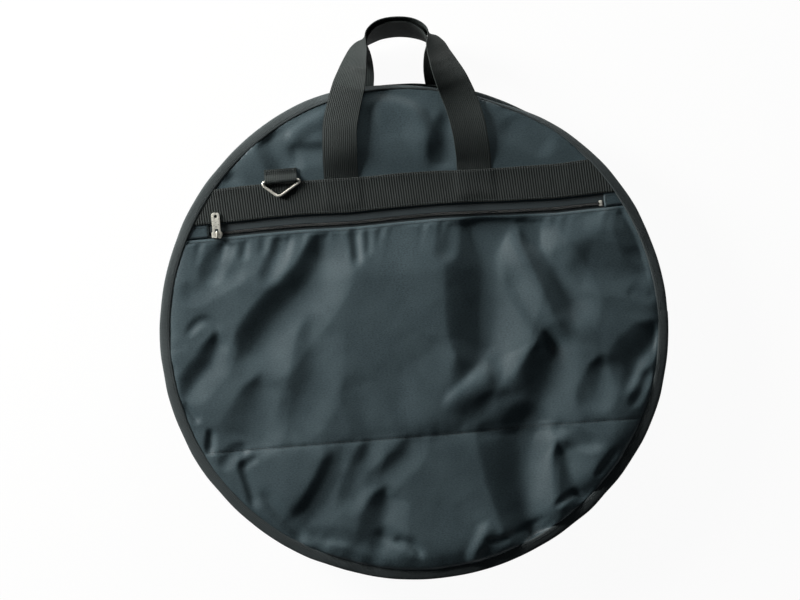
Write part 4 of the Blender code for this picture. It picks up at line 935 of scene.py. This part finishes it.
PAD_RADIUS = 278.5
PAD_SPACING = 6.0


def pad_disc(name, level, dip, noise, thickness, **how):
    """Padding with its lining: soft on the inside, with a rim that dips."""
    def place(x, y):
        size, cell, seed = noise
        height = level(x, y) - dip * np.exp(-(PAD_RADIUS - np.hypot(x, y)) / 5.0)
        return settle(x, y, height + size * soft_noise(x, y, cell, seed), **how)

    return cut_disc(name, PAD_RADIUS, PAD_SPACING, place, LINING, "lining_cloth", thickness)


def front_pad():
    """The front's padding and lining."""
    pad = pad_disc("front_pad", pad_level, 1.6, (0.25, 30.0, 91), 3.8)
    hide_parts("front_padding", "front_lining", "pocket_backing", "front_lower_padding",
                "front_lower_lining")
    bend_at_seam(pad)
    return pad


# The side wall

# The main zip's height, its tapes' and sliders' radii, the teeth's pitch, and the radius of the rows of
# stitches beside it. The wall's outer face is in metres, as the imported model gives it.
MAIN_ZIP = 27.1
ZIP_RADIUS = 281.9
SLIDER_RADIUS = 281.8
TOOTH_PITCH = 2.0
ROW_RADIUS = 283.55
WALL_FACE = 0.2838
SEAM_ANGLE = math.degrees(math.asin(SEAM_Y / SEAM_RADIUS))


def wall_points(start, end, levels, radii, sway, seed, front_shares=0.0):
    """Rows of points round the side wall between two angles in degrees."""
    angle = np.linspace(start, end, max(4, int(abs(end - start) * 2.5)) + 1)
    turn = np.radians(angle)[:, None]
    levels, radii, shares = [np.array(v, float) for v in (levels, radii, front_shares)]
    middle = bell(levels - levels.mean(), np.ptp(levels) / 2 + 1e-6)
    wave = line_noise(angle, 5.5, seed)[:, None] * middle + 0.4 * line_noise(angle, 2.1, seed + 1)[:, None]
    radius = radii + sway * wave
    points = settle(radius * np.cos(turn), radius * np.sin(turn), levels, shares, overhang=False)
    return points, stacked(turn * SEAM_RADIUS, levels)


def side_wall():
    """The wall's front half is baked in place, and its rear half stays with the case."""
    points, uv = wall_points(0.0, 360.0, (33.6, 34.6, 38.0, 42.0, 46.0, 48.6, 50.0, 50.4),
                             (282.2, 283.1, 283.2, 283.1, 283.1, 283.3, 284.4, 286.0), 0.5, 101,
                             (0.0, 0.05, 0.2, 0.45, 0.75, 0.95, 1.0, 1.0))
    front = grid_piece("gusset_front_cloth", points[:-1], uv, POLYESTER, "shell_cloth", closed_u=True,
                       thickness=CLOTH)
    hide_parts("gusset_front_strip")
    bend_at_seam(front)
    for name, node, start, end, levels, radii, sway, seed in (
            ("gusset_rear_cloth", "gusset_rear_strip", SEAM_ANGLE, 180.0 - SEAM_ANGLE,
             (3.8, 4.4, 6.0, 9.0, 13.0, 17.0, 19.6, 20.6),
             (286.0, 284.4, 283.3, 283.1, 283.1, 283.2, 283.1, 282.2), 0.5, 103),
            ("gusset_foot_cloth", "gusset_bottom", 180.0 - SEAM_ANGLE, 360.0 + SEAM_ANGLE,
             (3.8, 4.4, 6.0, 9.0, 14.0, 20.0, 26.0, 31.0, 34.2),
             (286.0, 284.4, 283.3, 283.1, 283.1, 283.1, 283.1, 283.1, 282.9), 0.9, 105)):
        points, uv = wall_points(start, end, levels, radii, sway, seed)
        wall = grid_piece(name, points, uv, POLYESTER, "shell_cloth", thickness=CLOTH, offset=1.0)
        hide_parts(node)
        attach(wall, "case")
    angle = np.radians(np.linspace(SEAM_ANGLE + 1.0, 179.0 - SEAM_ANGLE, 700))
    for level, side, body in ((18.8, "rear", "case"), (35.2, "front", "front_flap")):
        row = stacked(ROW_RADIUS * np.cos(angle), ROW_RADIUS * np.sin(angle), level)
        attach(stitch_row("main_zip_stitches_" + side, row), body)


def main_zip():
    """Tapes and teeth round the upper edge, and the sewn tabs over their ends."""
    for side, sign, body in (("rear", -1, "case"), ("front", 1, "front_flap")):
        levels = [MAIN_ZIP + sign * o for o in (1.5, 1.9, 3.0, 5.0, 8.0, 12.0, 15.5)]
        tape = wall_points(SEAM_ANGLE + 0.1, 179.9 - SEAM_ANGLE, levels, ZIP_RADIUS, 0.12, 107)
        pitch = math.degrees(TOOTH_PITCH / 282.0)
        angle = np.arange(SEAM_ANGLE + 0.3, 179.7 - SEAM_ANGLE, pitch) + (pitch / 2 if sign > 0 else 0)
        angle = np.radians(angle)
        out = stacked(np.cos(angle), np.sin(angle), 0.0)
        centres = out * ZIP_RADIUS + np.array([0, 0, MAIN_ZIP + sign * 0.7])
        zip_half("main", side, body, tape, 0.0, centres, (0.0, 0.0, 1.0), out, (1.25, 0.55, 0.95))
    for side, sign in (("left", -1), ("right", 1)):
        low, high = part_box("zip_end_tab_" + side)
        bottom, top = [math.asin(y / WALL_FACE) * 180 / math.pi for y in (low.y, high.y)]
        angle = np.linspace(bottom, top, 16)
        turn = np.radians(angle if sign > 0 else 180.0 - angle)[:, None]
        levels = np.linspace(low.z / MM, high.z / MM, 10)
        edge = np.minimum(1.0, np.minimum(levels - levels.min(), levels.max() - levels) / 1.5)
        radius = 284.25 + 0.35 * edge
        points = stacked(radius * np.cos(turn), radius * np.sin(turn), levels)
        tab = grid_piece("zip_tab_" + side, points, stacked(levels, turn * SEAM_RADIUS), BINDING,
                         "binding_tape", thickness=0.9, offset=-1.0 if sign > 0 else 1.0)
        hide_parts("zip_end_tab_" + side)
        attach(tab, "case")


# The back

def leg_seat(x, y):
    """1 where the back handle's legs and band lie under the back panel."""
    band = smooth((y - BAND_LOW + 2.0) / 2.0) * smooth((BAND_HIGH + 2.0 - y) / 2.0)
    legs = np.zeros(np.shape(x))
    for side in (-1, 1):
        centre = 7.0 + side * (65.0 - 0.06 * np.maximum(y - 200.0, 0.0) * 2.2)
        legs = legs + smooth((23.5 - np.abs(x - centre)) / 2.5) * (y > BAND_LOW)
    return np.clip(band + legs, 0.0, 1.0)


def back_level(x, y):
    """Height of the back cloth's outer face: flat on the floor, pressed up over the webbing."""
    radius = np.hypot(x, y)
    wrinkles = 0.25 + 0.25 * soft_noise(x, y, 38.0, 111) + 0.12 * soft_noise(x, y, 14.0, 112)
    rim = 2.7 * smooth((radius - 277.0) / 7.0)
    return np.maximum(wrinkles, 0.05) + np.maximum(2.2 * leg_seat(x, y), rim)


BACK_PAD_LEVEL = 9.2
BACK_BAND_RADIUS = 277.4


def back_side():
    """Back cloth, its padding with lining, and the webbing band across it."""
    def place(x, y):
        return settle(x, y, back_level(x, y), 0.0, overhang=False)

    cloth = cut_disc("back_cloth", CLOTH_EDGE, 4.0, place, POLYESTER, "shell_cloth", CLOTH, 1.0)
    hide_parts("back_panel")
    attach(cloth, "case")
    pad = pad_disc("back_pad", lambda x, y: BACK_PAD_LEVEL, 1.8, (0.3, 34.0, 113), 5.0, front_share=0.0,
                   overhang=False)
    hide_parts("back_padding", "back_lining")
    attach(pad, "case")
    limit = BACK_BAND_RADIUS ** 2
    edge = math.sqrt(limit - BAND_LOW ** 2) - 0.5
    grid_x, share = np.meshgrid(np.arange(-edge, edge, RIB_PITCH / 4), np.linspace(0, 1, 9), indexing="ij")
    top = np.minimum(BAND_HIGH, np.sqrt(np.maximum(limit - grid_x ** 2, BAND_LOW ** 2)))
    grid_y = BAND_LOW + (top - BAND_LOW) * share
    ribs = 0.15 * np.sin(2 * math.pi * grid_x / RIB_PITCH)
    band = grid_piece("back_band_webbing", stacked(grid_x, grid_y, 0.35 + ribs), stacked(grid_x, grid_y),
                      BAND_WEBBING, "webbing", thickness=1.2, offset=1.0)
    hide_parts("back_band")
    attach(band, "case")
    return cloth, pad


# Handles

# x, y and free height of the centre line in millimetres, and the webbing's turn on edge in degrees
FRONT_ROUTE = (
    (-70.3, 160.0, 0.0, 0), (-70.3, 184.0, 0.0, 0), (-69.2, 212.0, 0.0, 2), (-66.5, 243.0, 0.0, 7),
    (-60.5, 266.0, 0.0, 10), (-53.5, 287.0, 0.0, 18), (-47.5, 305.0, 52.0, 33), (-43.0, 320.0, 46.0, 46),
    (-38.0, 333.0, 40.0, 58), (-33.5, 341.5, 36.5, 74), (-26.0, 350.0, 34.0, 98), (-12.0, 357.0, 32.5, 108),
    (8.0, 358.5, 32.0, 110), (27.0, 355.5, 32.5, 108), (41.0, 348.5, 34.5, 97), (48.5, 341.0, 37.5, 72),
    (52.0, 332.0, 41.0, 56), (55.5, 319.0, 46.0, 46), (60.5, 303.0, 52.0, 34), (69.0, 279.0, 0.0, 15),
    (76.8, 255.0, 0.0, 8), (82.0, 228.0, 0.0, 4), (84.3, 200.0, 0.0, 0), (84.3, 184.0, 0.0, 0),
    (84.3, 160.0, 0.0, 0),
)
REAR_ROUTE = (
    (-58.0, 186.0, 1.1, 0), (-57.5, 212.0, 1.1, 0), (-55.5, 240.0, 1.1, 0), (-51.0, 266.0, 1.1, 0),
    (-46.0, 286.0, 1.6, 3), (-42.0, 301.0, 7.5, 18), (-38.0, 315.0, 15.0, 40), (-34.0, 328.0, 21.5, 62),
    (-30.0, 338.0, 26.0, 84), (-22.5, 346.0, 28.5, 99), (-10.5, 352.4, 29.2, 108), (8.0, 354.0, 29.5, 110),
    (25.0, 351.2, 29.2, 107), (38.0, 344.0, 28.5, 97), (45.0, 334.0, 27.0, 82), (48.0, 320.0, 21.5, 58),
    (52.0, 305.0, 13.5, 34), (57.0, 290.0, 4.6, 10), (62.5, 268.0, 1.1, 0), (68.0, 240.0, 1.1, 0),
    (71.0, 212.0, 1.1, 0), (72.0, 186.0, 1.1, 0),
)
WEBBING_HALF = 20.0
HANDLE_RIBS = 18
# Where the front handle leaves the cloth, and its height beyond when the route gives none
GRIP_Y = 292.0
FREE_LEVEL = 53.5


def handle(name, route, body, parent, on_cloth, replaced):
    """A webbing loop: ribbed, flat on the bag, folded on edge at the grip's two corners."""
    line = rounded_line(route, 8)
    x, y = line[:, 0], line[:, 1]
    run = np.gradient(line[:, :2], axis=0)
    run /= np.linalg.norm(run, axis=1, keepdims=True)
    turn = np.radians(line[:, 3])
    across = (stacked(-run[:, 1], run[:, 0], 0.0) * np.cos(turn)[:, None]
              - np.array([0, 0, 1.0]) * np.sin(turn)[:, None])
    centre = line[:, :3].copy()
    half = WEBBING_HALF - 0.4 * (1 - np.cos(turn))
    if on_cloth:
        sink = np.sin(turn) * WEBBING_HALF
        surface = np.max([front_level(x + across[:, 0] * o, y + across[:, 1] * o)
                          for o in (-20, -12, -4, 4, 12, 20)], axis=0)
        hump = 3.2 * smooth((y - HINGE_Y) / 26.0) * (1 - smooth((y - 222.0) / 50.0))
        over = 1 - smooth((y - GRIP_Y) / 16.0)
        under_band = smooth((HINGE_Y + 4 - y) / 8.0)
        resting = (surface + 1.1 + sink + hump) * (1 - under_band) + (surface + 0.7) * under_band
        free = np.where(line[:, 2] > 1, line[:, 2], FREE_LEVEL + sink)
        centre[:, 2] = resting * over + free * (1 - over)
        centre[:, 2] = np.convolve(np.pad(centre[:, 2], 3, mode="edge"), np.ones(7) / 7, "valid")
    face = np.cross(np.gradient(centre, axis=0), across)
    face /= np.linalg.norm(face, axis=1, keepdims=True)
    side = np.linspace(-1, 1, HANDLE_RIBS * 4 + 1)
    ribs = 0.16 * np.cos(math.pi * side * HANDLE_RIBS) * (1 - np.abs(side) ** 12)
    cup = -0.35 * side ** 2
    lengths = path_lengths(centre)
    sag = 0.5 * line_noise(lengths, 34.0, 121)[:, None] * side[None, :]
    points = (centre[:, None, :] + across[:, None, :] * (side[None, :] * half[:, None])[..., None]
              + face[:, None, :] * (ribs + cup + sag)[..., None])
    uv = stacked(lengths[:, None], side * WEBBING_HALF)
    strap = grid_piece(name, points, uv, HANDLE_WEBBING, "webbing", thickness=1.4, offset=0.0)
    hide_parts(replaced)
    if parent:
        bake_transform(strap)
    else:
        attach(strap, body)


def handles():
    """The two carry handles."""
    handle("front_handle_webbing", FRONT_ROUTE, "front_handle", "front_flap", True, "front_handle")
    handle("back_handle_webbing", REAR_ROUTE, "back_handle", None, False, "back_handle")


# Metal

def add_line(curve, points, closed):
    """A straight-edged line through points in millimetres."""
    spline = curve.splines.new("POLY")
    spline.points.add(len(points) - 1)
    for point, place in zip(spline.points, points):
        point.co = (*[c * MM for c in place], 1.0)
    spline.use_cyclic_u = closed


def new_curve(name, dimensions, bevel, resolution):
    """A curve with a round bevel in millimetres."""
    curve = bpy.data.curves.new(name, "CURVE")
    curve.dimensions = dimensions
    curve.bevel_depth = bevel * MM
    curve.bevel_resolution = resolution
    return curve


def solid_from_curve(name, curve, place):
    """Turn a curve into a welded mesh object with the nickel finish."""
    thing = add_object(name + "_curve", curve)
    bpy.context.view_layer.update()
    mesh = bpy.data.meshes.new_from_object(thing.evaluated_get(bpy.context.evaluated_depsgraph_get()))
    bpy.data.objects.remove(thing, do_unlink=True)
    work = bmesh.new()
    work.from_mesh(mesh)
    bmesh.ops.remove_doubles(work, verts=work.verts, dist=0.000002)
    work.transform(place)
    work.to_mesh(mesh)
    work.free()
    return finish_mesh(name, mesh, NICKEL, "nickel")


def rounded_plate(name, loops, low, high, soft):
    """A flat plate with softened edges; the first loop is its outside."""
    curve = new_curve(name, "2D", soft, 2)
    curve.fill_mode = "BOTH"
    curve.extrude = ((high - low) / 2 - soft) * MM
    curve.offset = -soft * MM
    for loop in loops:
        add_line(curve, [(x, y, 0.0) for x, y in loop], True)
    return solid_from_curve(name, curve, Matrix.Translation((0, 0, (high + low) / 2 * MM)))


def wire(name, points, radius, closed):
    """A round wire through the points."""
    curve = new_curve(name, "3D", radius, 4)
    curve.use_fill_caps = True
    add_line(curve, points, closed)
    return solid_from_curve(name, curve, Matrix.Identity(4))


def arc_loop(centres, radius):
    """A closed outline that turns round each centre in order: (x, y, first angle, last angle)."""
    return [(x + radius * math.cos(angle), y + radius * math.sin(angle))
            for x, y, first, last in centres for angle in np.radians(np.linspace(first, last, 8))]


def rounded_box(low, high, radius):
    """A closed outline round a rectangle with rounded corners."""
    left, right, bottom, top = low[0] + radius, high[0] - radius, low[1] + radius, high[1] - radius
    return arc_loop(((right, bottom, 270, 360), (right, top, 0, 90), (left, top, 90, 180),
                     (left, bottom, 180, 270)), radius)


def slider_body(name, place, bridge_turn, flanges):
    """Cast slider: two shaped plates, the wedge between them, side lips and the bridge."""
    outline = arc_loop(((-5.2, -2.4, 180, 270), (3.6, -3.6, 270, 330), (5.2, -1.0, 330, 360),
                        (5.2, 1.0, 0, 30), (3.6, 3.6, 30, 90), (-5.2, 2.4, 90, 180)), 1.0)
    parts = [rounded_plate(name + "_top", [outline], 1.4, 2.6, 0.3),
             rounded_plate(name + "_base", [outline], -2.4, -1.4, 0.25)]
    block = [(-2.5, -0.3), (2.5, -0.3), (2.5, 0.3), (-2.5, 0.3)]
    parts.append(rounded_plate(name + "_wedge", [block], -1.9, 1.9, 0.08))
    for sign in flanges:
        lip = [(-4.2, sign * 2.6), (4.2, sign * 2.6), (4.2, sign * 3.4), (-4.2, sign * 3.4)]
        lip = lip if sign > 0 else lip[::-1]
        parts += [rounded_plate(name + "_lip_%s%d" % (row, sign), [lip], low, high, 0.12)
                  for row, low, high in (("a", 0.7, 1.9), ("b", -1.9, -0.7))]
    arch = [(-3.6, 2.0), (-3.6, 4.6)] + [(-3.6 + 1.3 - 1.3 * math.cos(t), 4.6 + 1.3 * math.sin(t))
                                         for t in np.radians((30, 60, 90))]
    arch = arch + [(-a, z) for a, z in reversed(arch)]
    turn = Matrix.Rotation(bridge_turn, 3, "Z")
    parts.append(wire(name + "_bridge", [turn @ Vector((a, 0.0, z)) for a, z in arch], 0.75, False))
    body = joined(name + "_cast", parts)
    body.data.transform(place)
    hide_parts(name)
    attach(body, name)


def pull_tab(name, place):
    """Stamped pull: rounded ends, a window round the bridge and a punched hole."""
    half = 4.75
    outside = arc_loop(((22.4, -half + 3.1, 270, 360), (22.4, half - 3.1, 0, 90)), 3.1)
    outside += arc_loop(((1.8, half - 2.2, 90, 180), (1.8, -half + 2.2, 180, 270)), 2.2)
    outside = [(x, y * (0.86 + 0.14 * min(1.0, abs(x - 9.0) / 9.0))) for x, y in outside]
    window = rounded_box((0.7, -2.1), (6.5, 2.1), 0.9)
    hole = [(21.0 + 1.9 * math.cos(t), 1.9 * math.sin(t))
            for t in np.linspace(0, 2 * math.pi, 28, endpoint=False)]
    tab = rounded_plate(name + "_tab", [outside, window, hole], -0.6, 0.6, 0.22)
    tab.data.transform(place)
    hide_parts(name)
    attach(tab, name)


BRIDGE_RISE = 4.2
# Where each main slider stands round the wall, in degrees, and how far its pull is turned
MAIN_SLIDERS = (("left", 50.0, 0.0), ("right", 43.5, math.pi))


def sliders():
    """The pocket's slider, the two on the main zip, and the pocket zip's end stop."""
    low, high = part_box("pocket_zip_coil_upper")
    level = (low.z + high.z) / 2
    place = Matrix.Translation((ZIP_LEFT * MM, ZIP_Y * MM, level))
    slider_body("pocket_slider", place, math.pi / 2, (-1, 1))
    pivot = Matrix.Translation((ZIP_LEFT * MM, ZIP_Y * MM, level + BRIDGE_RISE * MM))
    pull_tab("pocket_pull", pivot @ Matrix.Rotation(math.pi / 2, 4, "Z"))
    for side, degrees, facing in MAIN_SLIDERS:
        around = math.radians(degrees)
        outward = Vector((math.cos(around), math.sin(around), 0.0))
        along = Vector((-math.sin(around), math.cos(around), 0.0))
        up = Vector((0.0, 0.0, 1.0))
        turn = Matrix((along, up, outward)).transposed().to_4x4()
        centre = outward * SLIDER_RADIUS * MM + up * MAIN_ZIP * MM
        slider_body("main_slider_" + side, Matrix.Translation(centre) @ turn, 0.0, (-1,))
        pivot = Matrix.Translation(centre + outward * BRIDGE_RISE * MM) @ turn
        pull_tab("main_pull_" + side, pivot @ Matrix.Rotation(facing, 4, "Z"))
    low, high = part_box("pocket_zip_stop")
    size = (high - low) / MM
    stop = rounded_plate("pocket_stop", [rounded_box((0.0, 0.0), size, 0.8)], 0.0, size.z, 0.3)
    stop.data.transform(Matrix.Translation(low))
    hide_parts("pocket_zip_stop")
    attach(stop, "front_flap")


# The tab's middle, the ring's height, the end of the tab's tail, the wire's radius, the radius of the
# webbing's fold round the wire, and the ring's corners with how far each is rounded
TAB_X = -140.0
RING_LEVEL = 54.9
TAB_TAIL = 200.0
WIRE = 1.6
TAB_FOLD = WIRE + 0.3 + 1.2
RING_CORNERS = (((-21, 0), 2.1), ((-21, -4.0), 2.1), ((-4, -18.5), 4.6), ((21, -3.5), 2.1), ((21, 0), 2.1))


def ring_and_tab():
    """The triangular wire ring in its folded webbing tab."""
    route = []
    for k, (corner, soft) in enumerate(RING_CORNERS):
        here = Vector(corner)
        before, after = [(Vector(RING_CORNERS[n % len(RING_CORNERS)][0]) - here).normalized()
                         for n in (k - 1, k + 1)]
        for t in np.linspace(0, 1, 9):
            p = here + before * soft * (1 - t) ** 2 + after * soft * t ** 2
            route.append((TAB_X + p.x, HINGE_Y + p.y, RING_LEVEL))
    ring = wire("front_ring_wire", route, WIRE, True)
    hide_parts("front_ring")
    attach(ring, "front_ring")
    base = 51.4 - RING_LEVEL
    tail = TAB_TAIL - HINGE_Y
    upper = ((tail, base + 2.2), (12.0, base + 2.3), (7.0, base + 2.6), (3.6, TAB_FOLD * 0.5),
             (0.8, TAB_FOLD))
    fold = [(TAB_FOLD * math.sin(-a), TAB_FOLD * math.cos(a)) for a in np.radians(np.linspace(8, 180, 22))]
    lower = [(3.0, base + 0.3), (10.0, base + 0.1), (tail, base + 0.1)]
    path = np.concatenate([rounded_line(upper, 5), fold, lower])
    across = np.linspace(-18.6, 18.6, 18 * 4 + 1)
    ribs = 0.12 * np.cos(2 * math.pi * across / 2.1)
    run = np.gradient(path, axis=0)
    run /= np.linalg.norm(run, axis=1, keepdims=True)
    points = stacked(TAB_X + across, HINGE_Y + path[:, :1] + run[:, 1:] * ribs,
                     RING_LEVEL + path[:, 1:] - run[:, :1] * ribs)
    uv = stacked(path_lengths(path)[:, None], across)
    tab = grid_piece("ring_tab_webbing", points, uv, HANDLE_WEBBING, "webbing", thickness=1.0, offset=0.0)
    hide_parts("front_ring_tab")
    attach(tab, "front_flap")
    corners = [(-16, 191.5), (16, 191.5), (16, 197.8), (-16, 197.8), (-16, 191.5)]
    line = np.concatenate([np.linspace(a, b, 12) for a, b in zip(corners[:-1], corners[1:])])
    row = stacked(line[:, 0] + TAB_X, line[:, 1], RING_LEVEL + base + 2.9)
    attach(stitch_row("tab_stitches", row, pitch=2.8, length=2.0), "front_flap")


# The stage

FLOOR_LEVEL = -1.3
FLOOR_HALF = 30000.0
WORLD_LIGHT = 0.036
LAMP_WHITE = (1.0, 0.985, 0.955)
# Each lamp's name, place in metres, power in watts and width in metres
LAMPS = (("window", (-1.74, 1.12, 0.67), 107.0, 0.8), ("side_window", (0.45, 1.72, 0.36), 20.0, 0.8),
         ("ceiling", (-0.1, 0.1, 3.1), 3.0, 2.8))


def stage():
    """A pale floor and plain soft light. The floor shows white to the camera and keeps the bag's shadow."""
    corners = [(x * FLOOR_HALF, y * FLOOR_HALF, FLOOR_LEVEL)
               for x, y in ((-1, -1), (1, -1), (1, 1), (-1, 1))]
    mesh = mesh_from("floor", corners, [(0, 1, 2, 3)])
    floor = add_object("floor", mesh)
    material, tree, shader = new_material("pale_floor_paint")
    shader.inputs["Base Color"].default_value = linear("E4E4E2")
    shader.inputs["Roughness"].default_value = 0.9
    path = add_node(tree, "LightPath")
    seen = add_node(tree, "Math", {"operation": "MAXIMUM"}, {0: path.outputs["Is Camera Ray"],
                                                          1: path.outputs["Is Glossy Ray"]})
    share = add_node(tree, "Math", {"operation": "MULTIPLY", 1: 0.95}, {0: seen})
    glow = add_node(tree, "Emission", {"Color": (1.0, 1.0, 1.0, 1.0), "Strength": 1.0})
    shown = add_node(tree, "MixShader", {}, {0: share, 1: shader, 2: glow})
    tree.links.new(shown.outputs[0], tree.nodes["Material Output"].inputs["Surface"])
    mesh.materials.append(material)
    world = bpy.data.worlds.new("studio_air")
    bpy.context.scene.world = world
    world.use_nodes = True
    air = world.node_tree.nodes["Background"]
    air.inputs["Color"].default_value = linear("DCE6F2")
    air.inputs["Strength"].default_value = WORLD_LIGHT
    for name, place, power, width in LAMPS:
        data = bpy.data.lights.new(name, "AREA")
        data.shape = "DISK"
        data.size = width
        data.energy = power
        data.color = LAMP_WHITE
        lamp = add_object(name, data)
        lamp.location = place
        lamp.rotation_euler = (Vector((0, 0, 0.05)) - Vector(place)).to_track_quat("-Z", "Y").to_euler()
    bpy.context.scene.view_settings.view_transform = "Standard"


front_sheet = front_cloth()
top_sheet = top_cloth()
front_band()
pocket_zip()
bindings()
front_padding = front_pad()
side_wall()
main_zip()
back_sheet, back_padding = back_side()
handles()
sliders()
ring_and_tab()
stage()
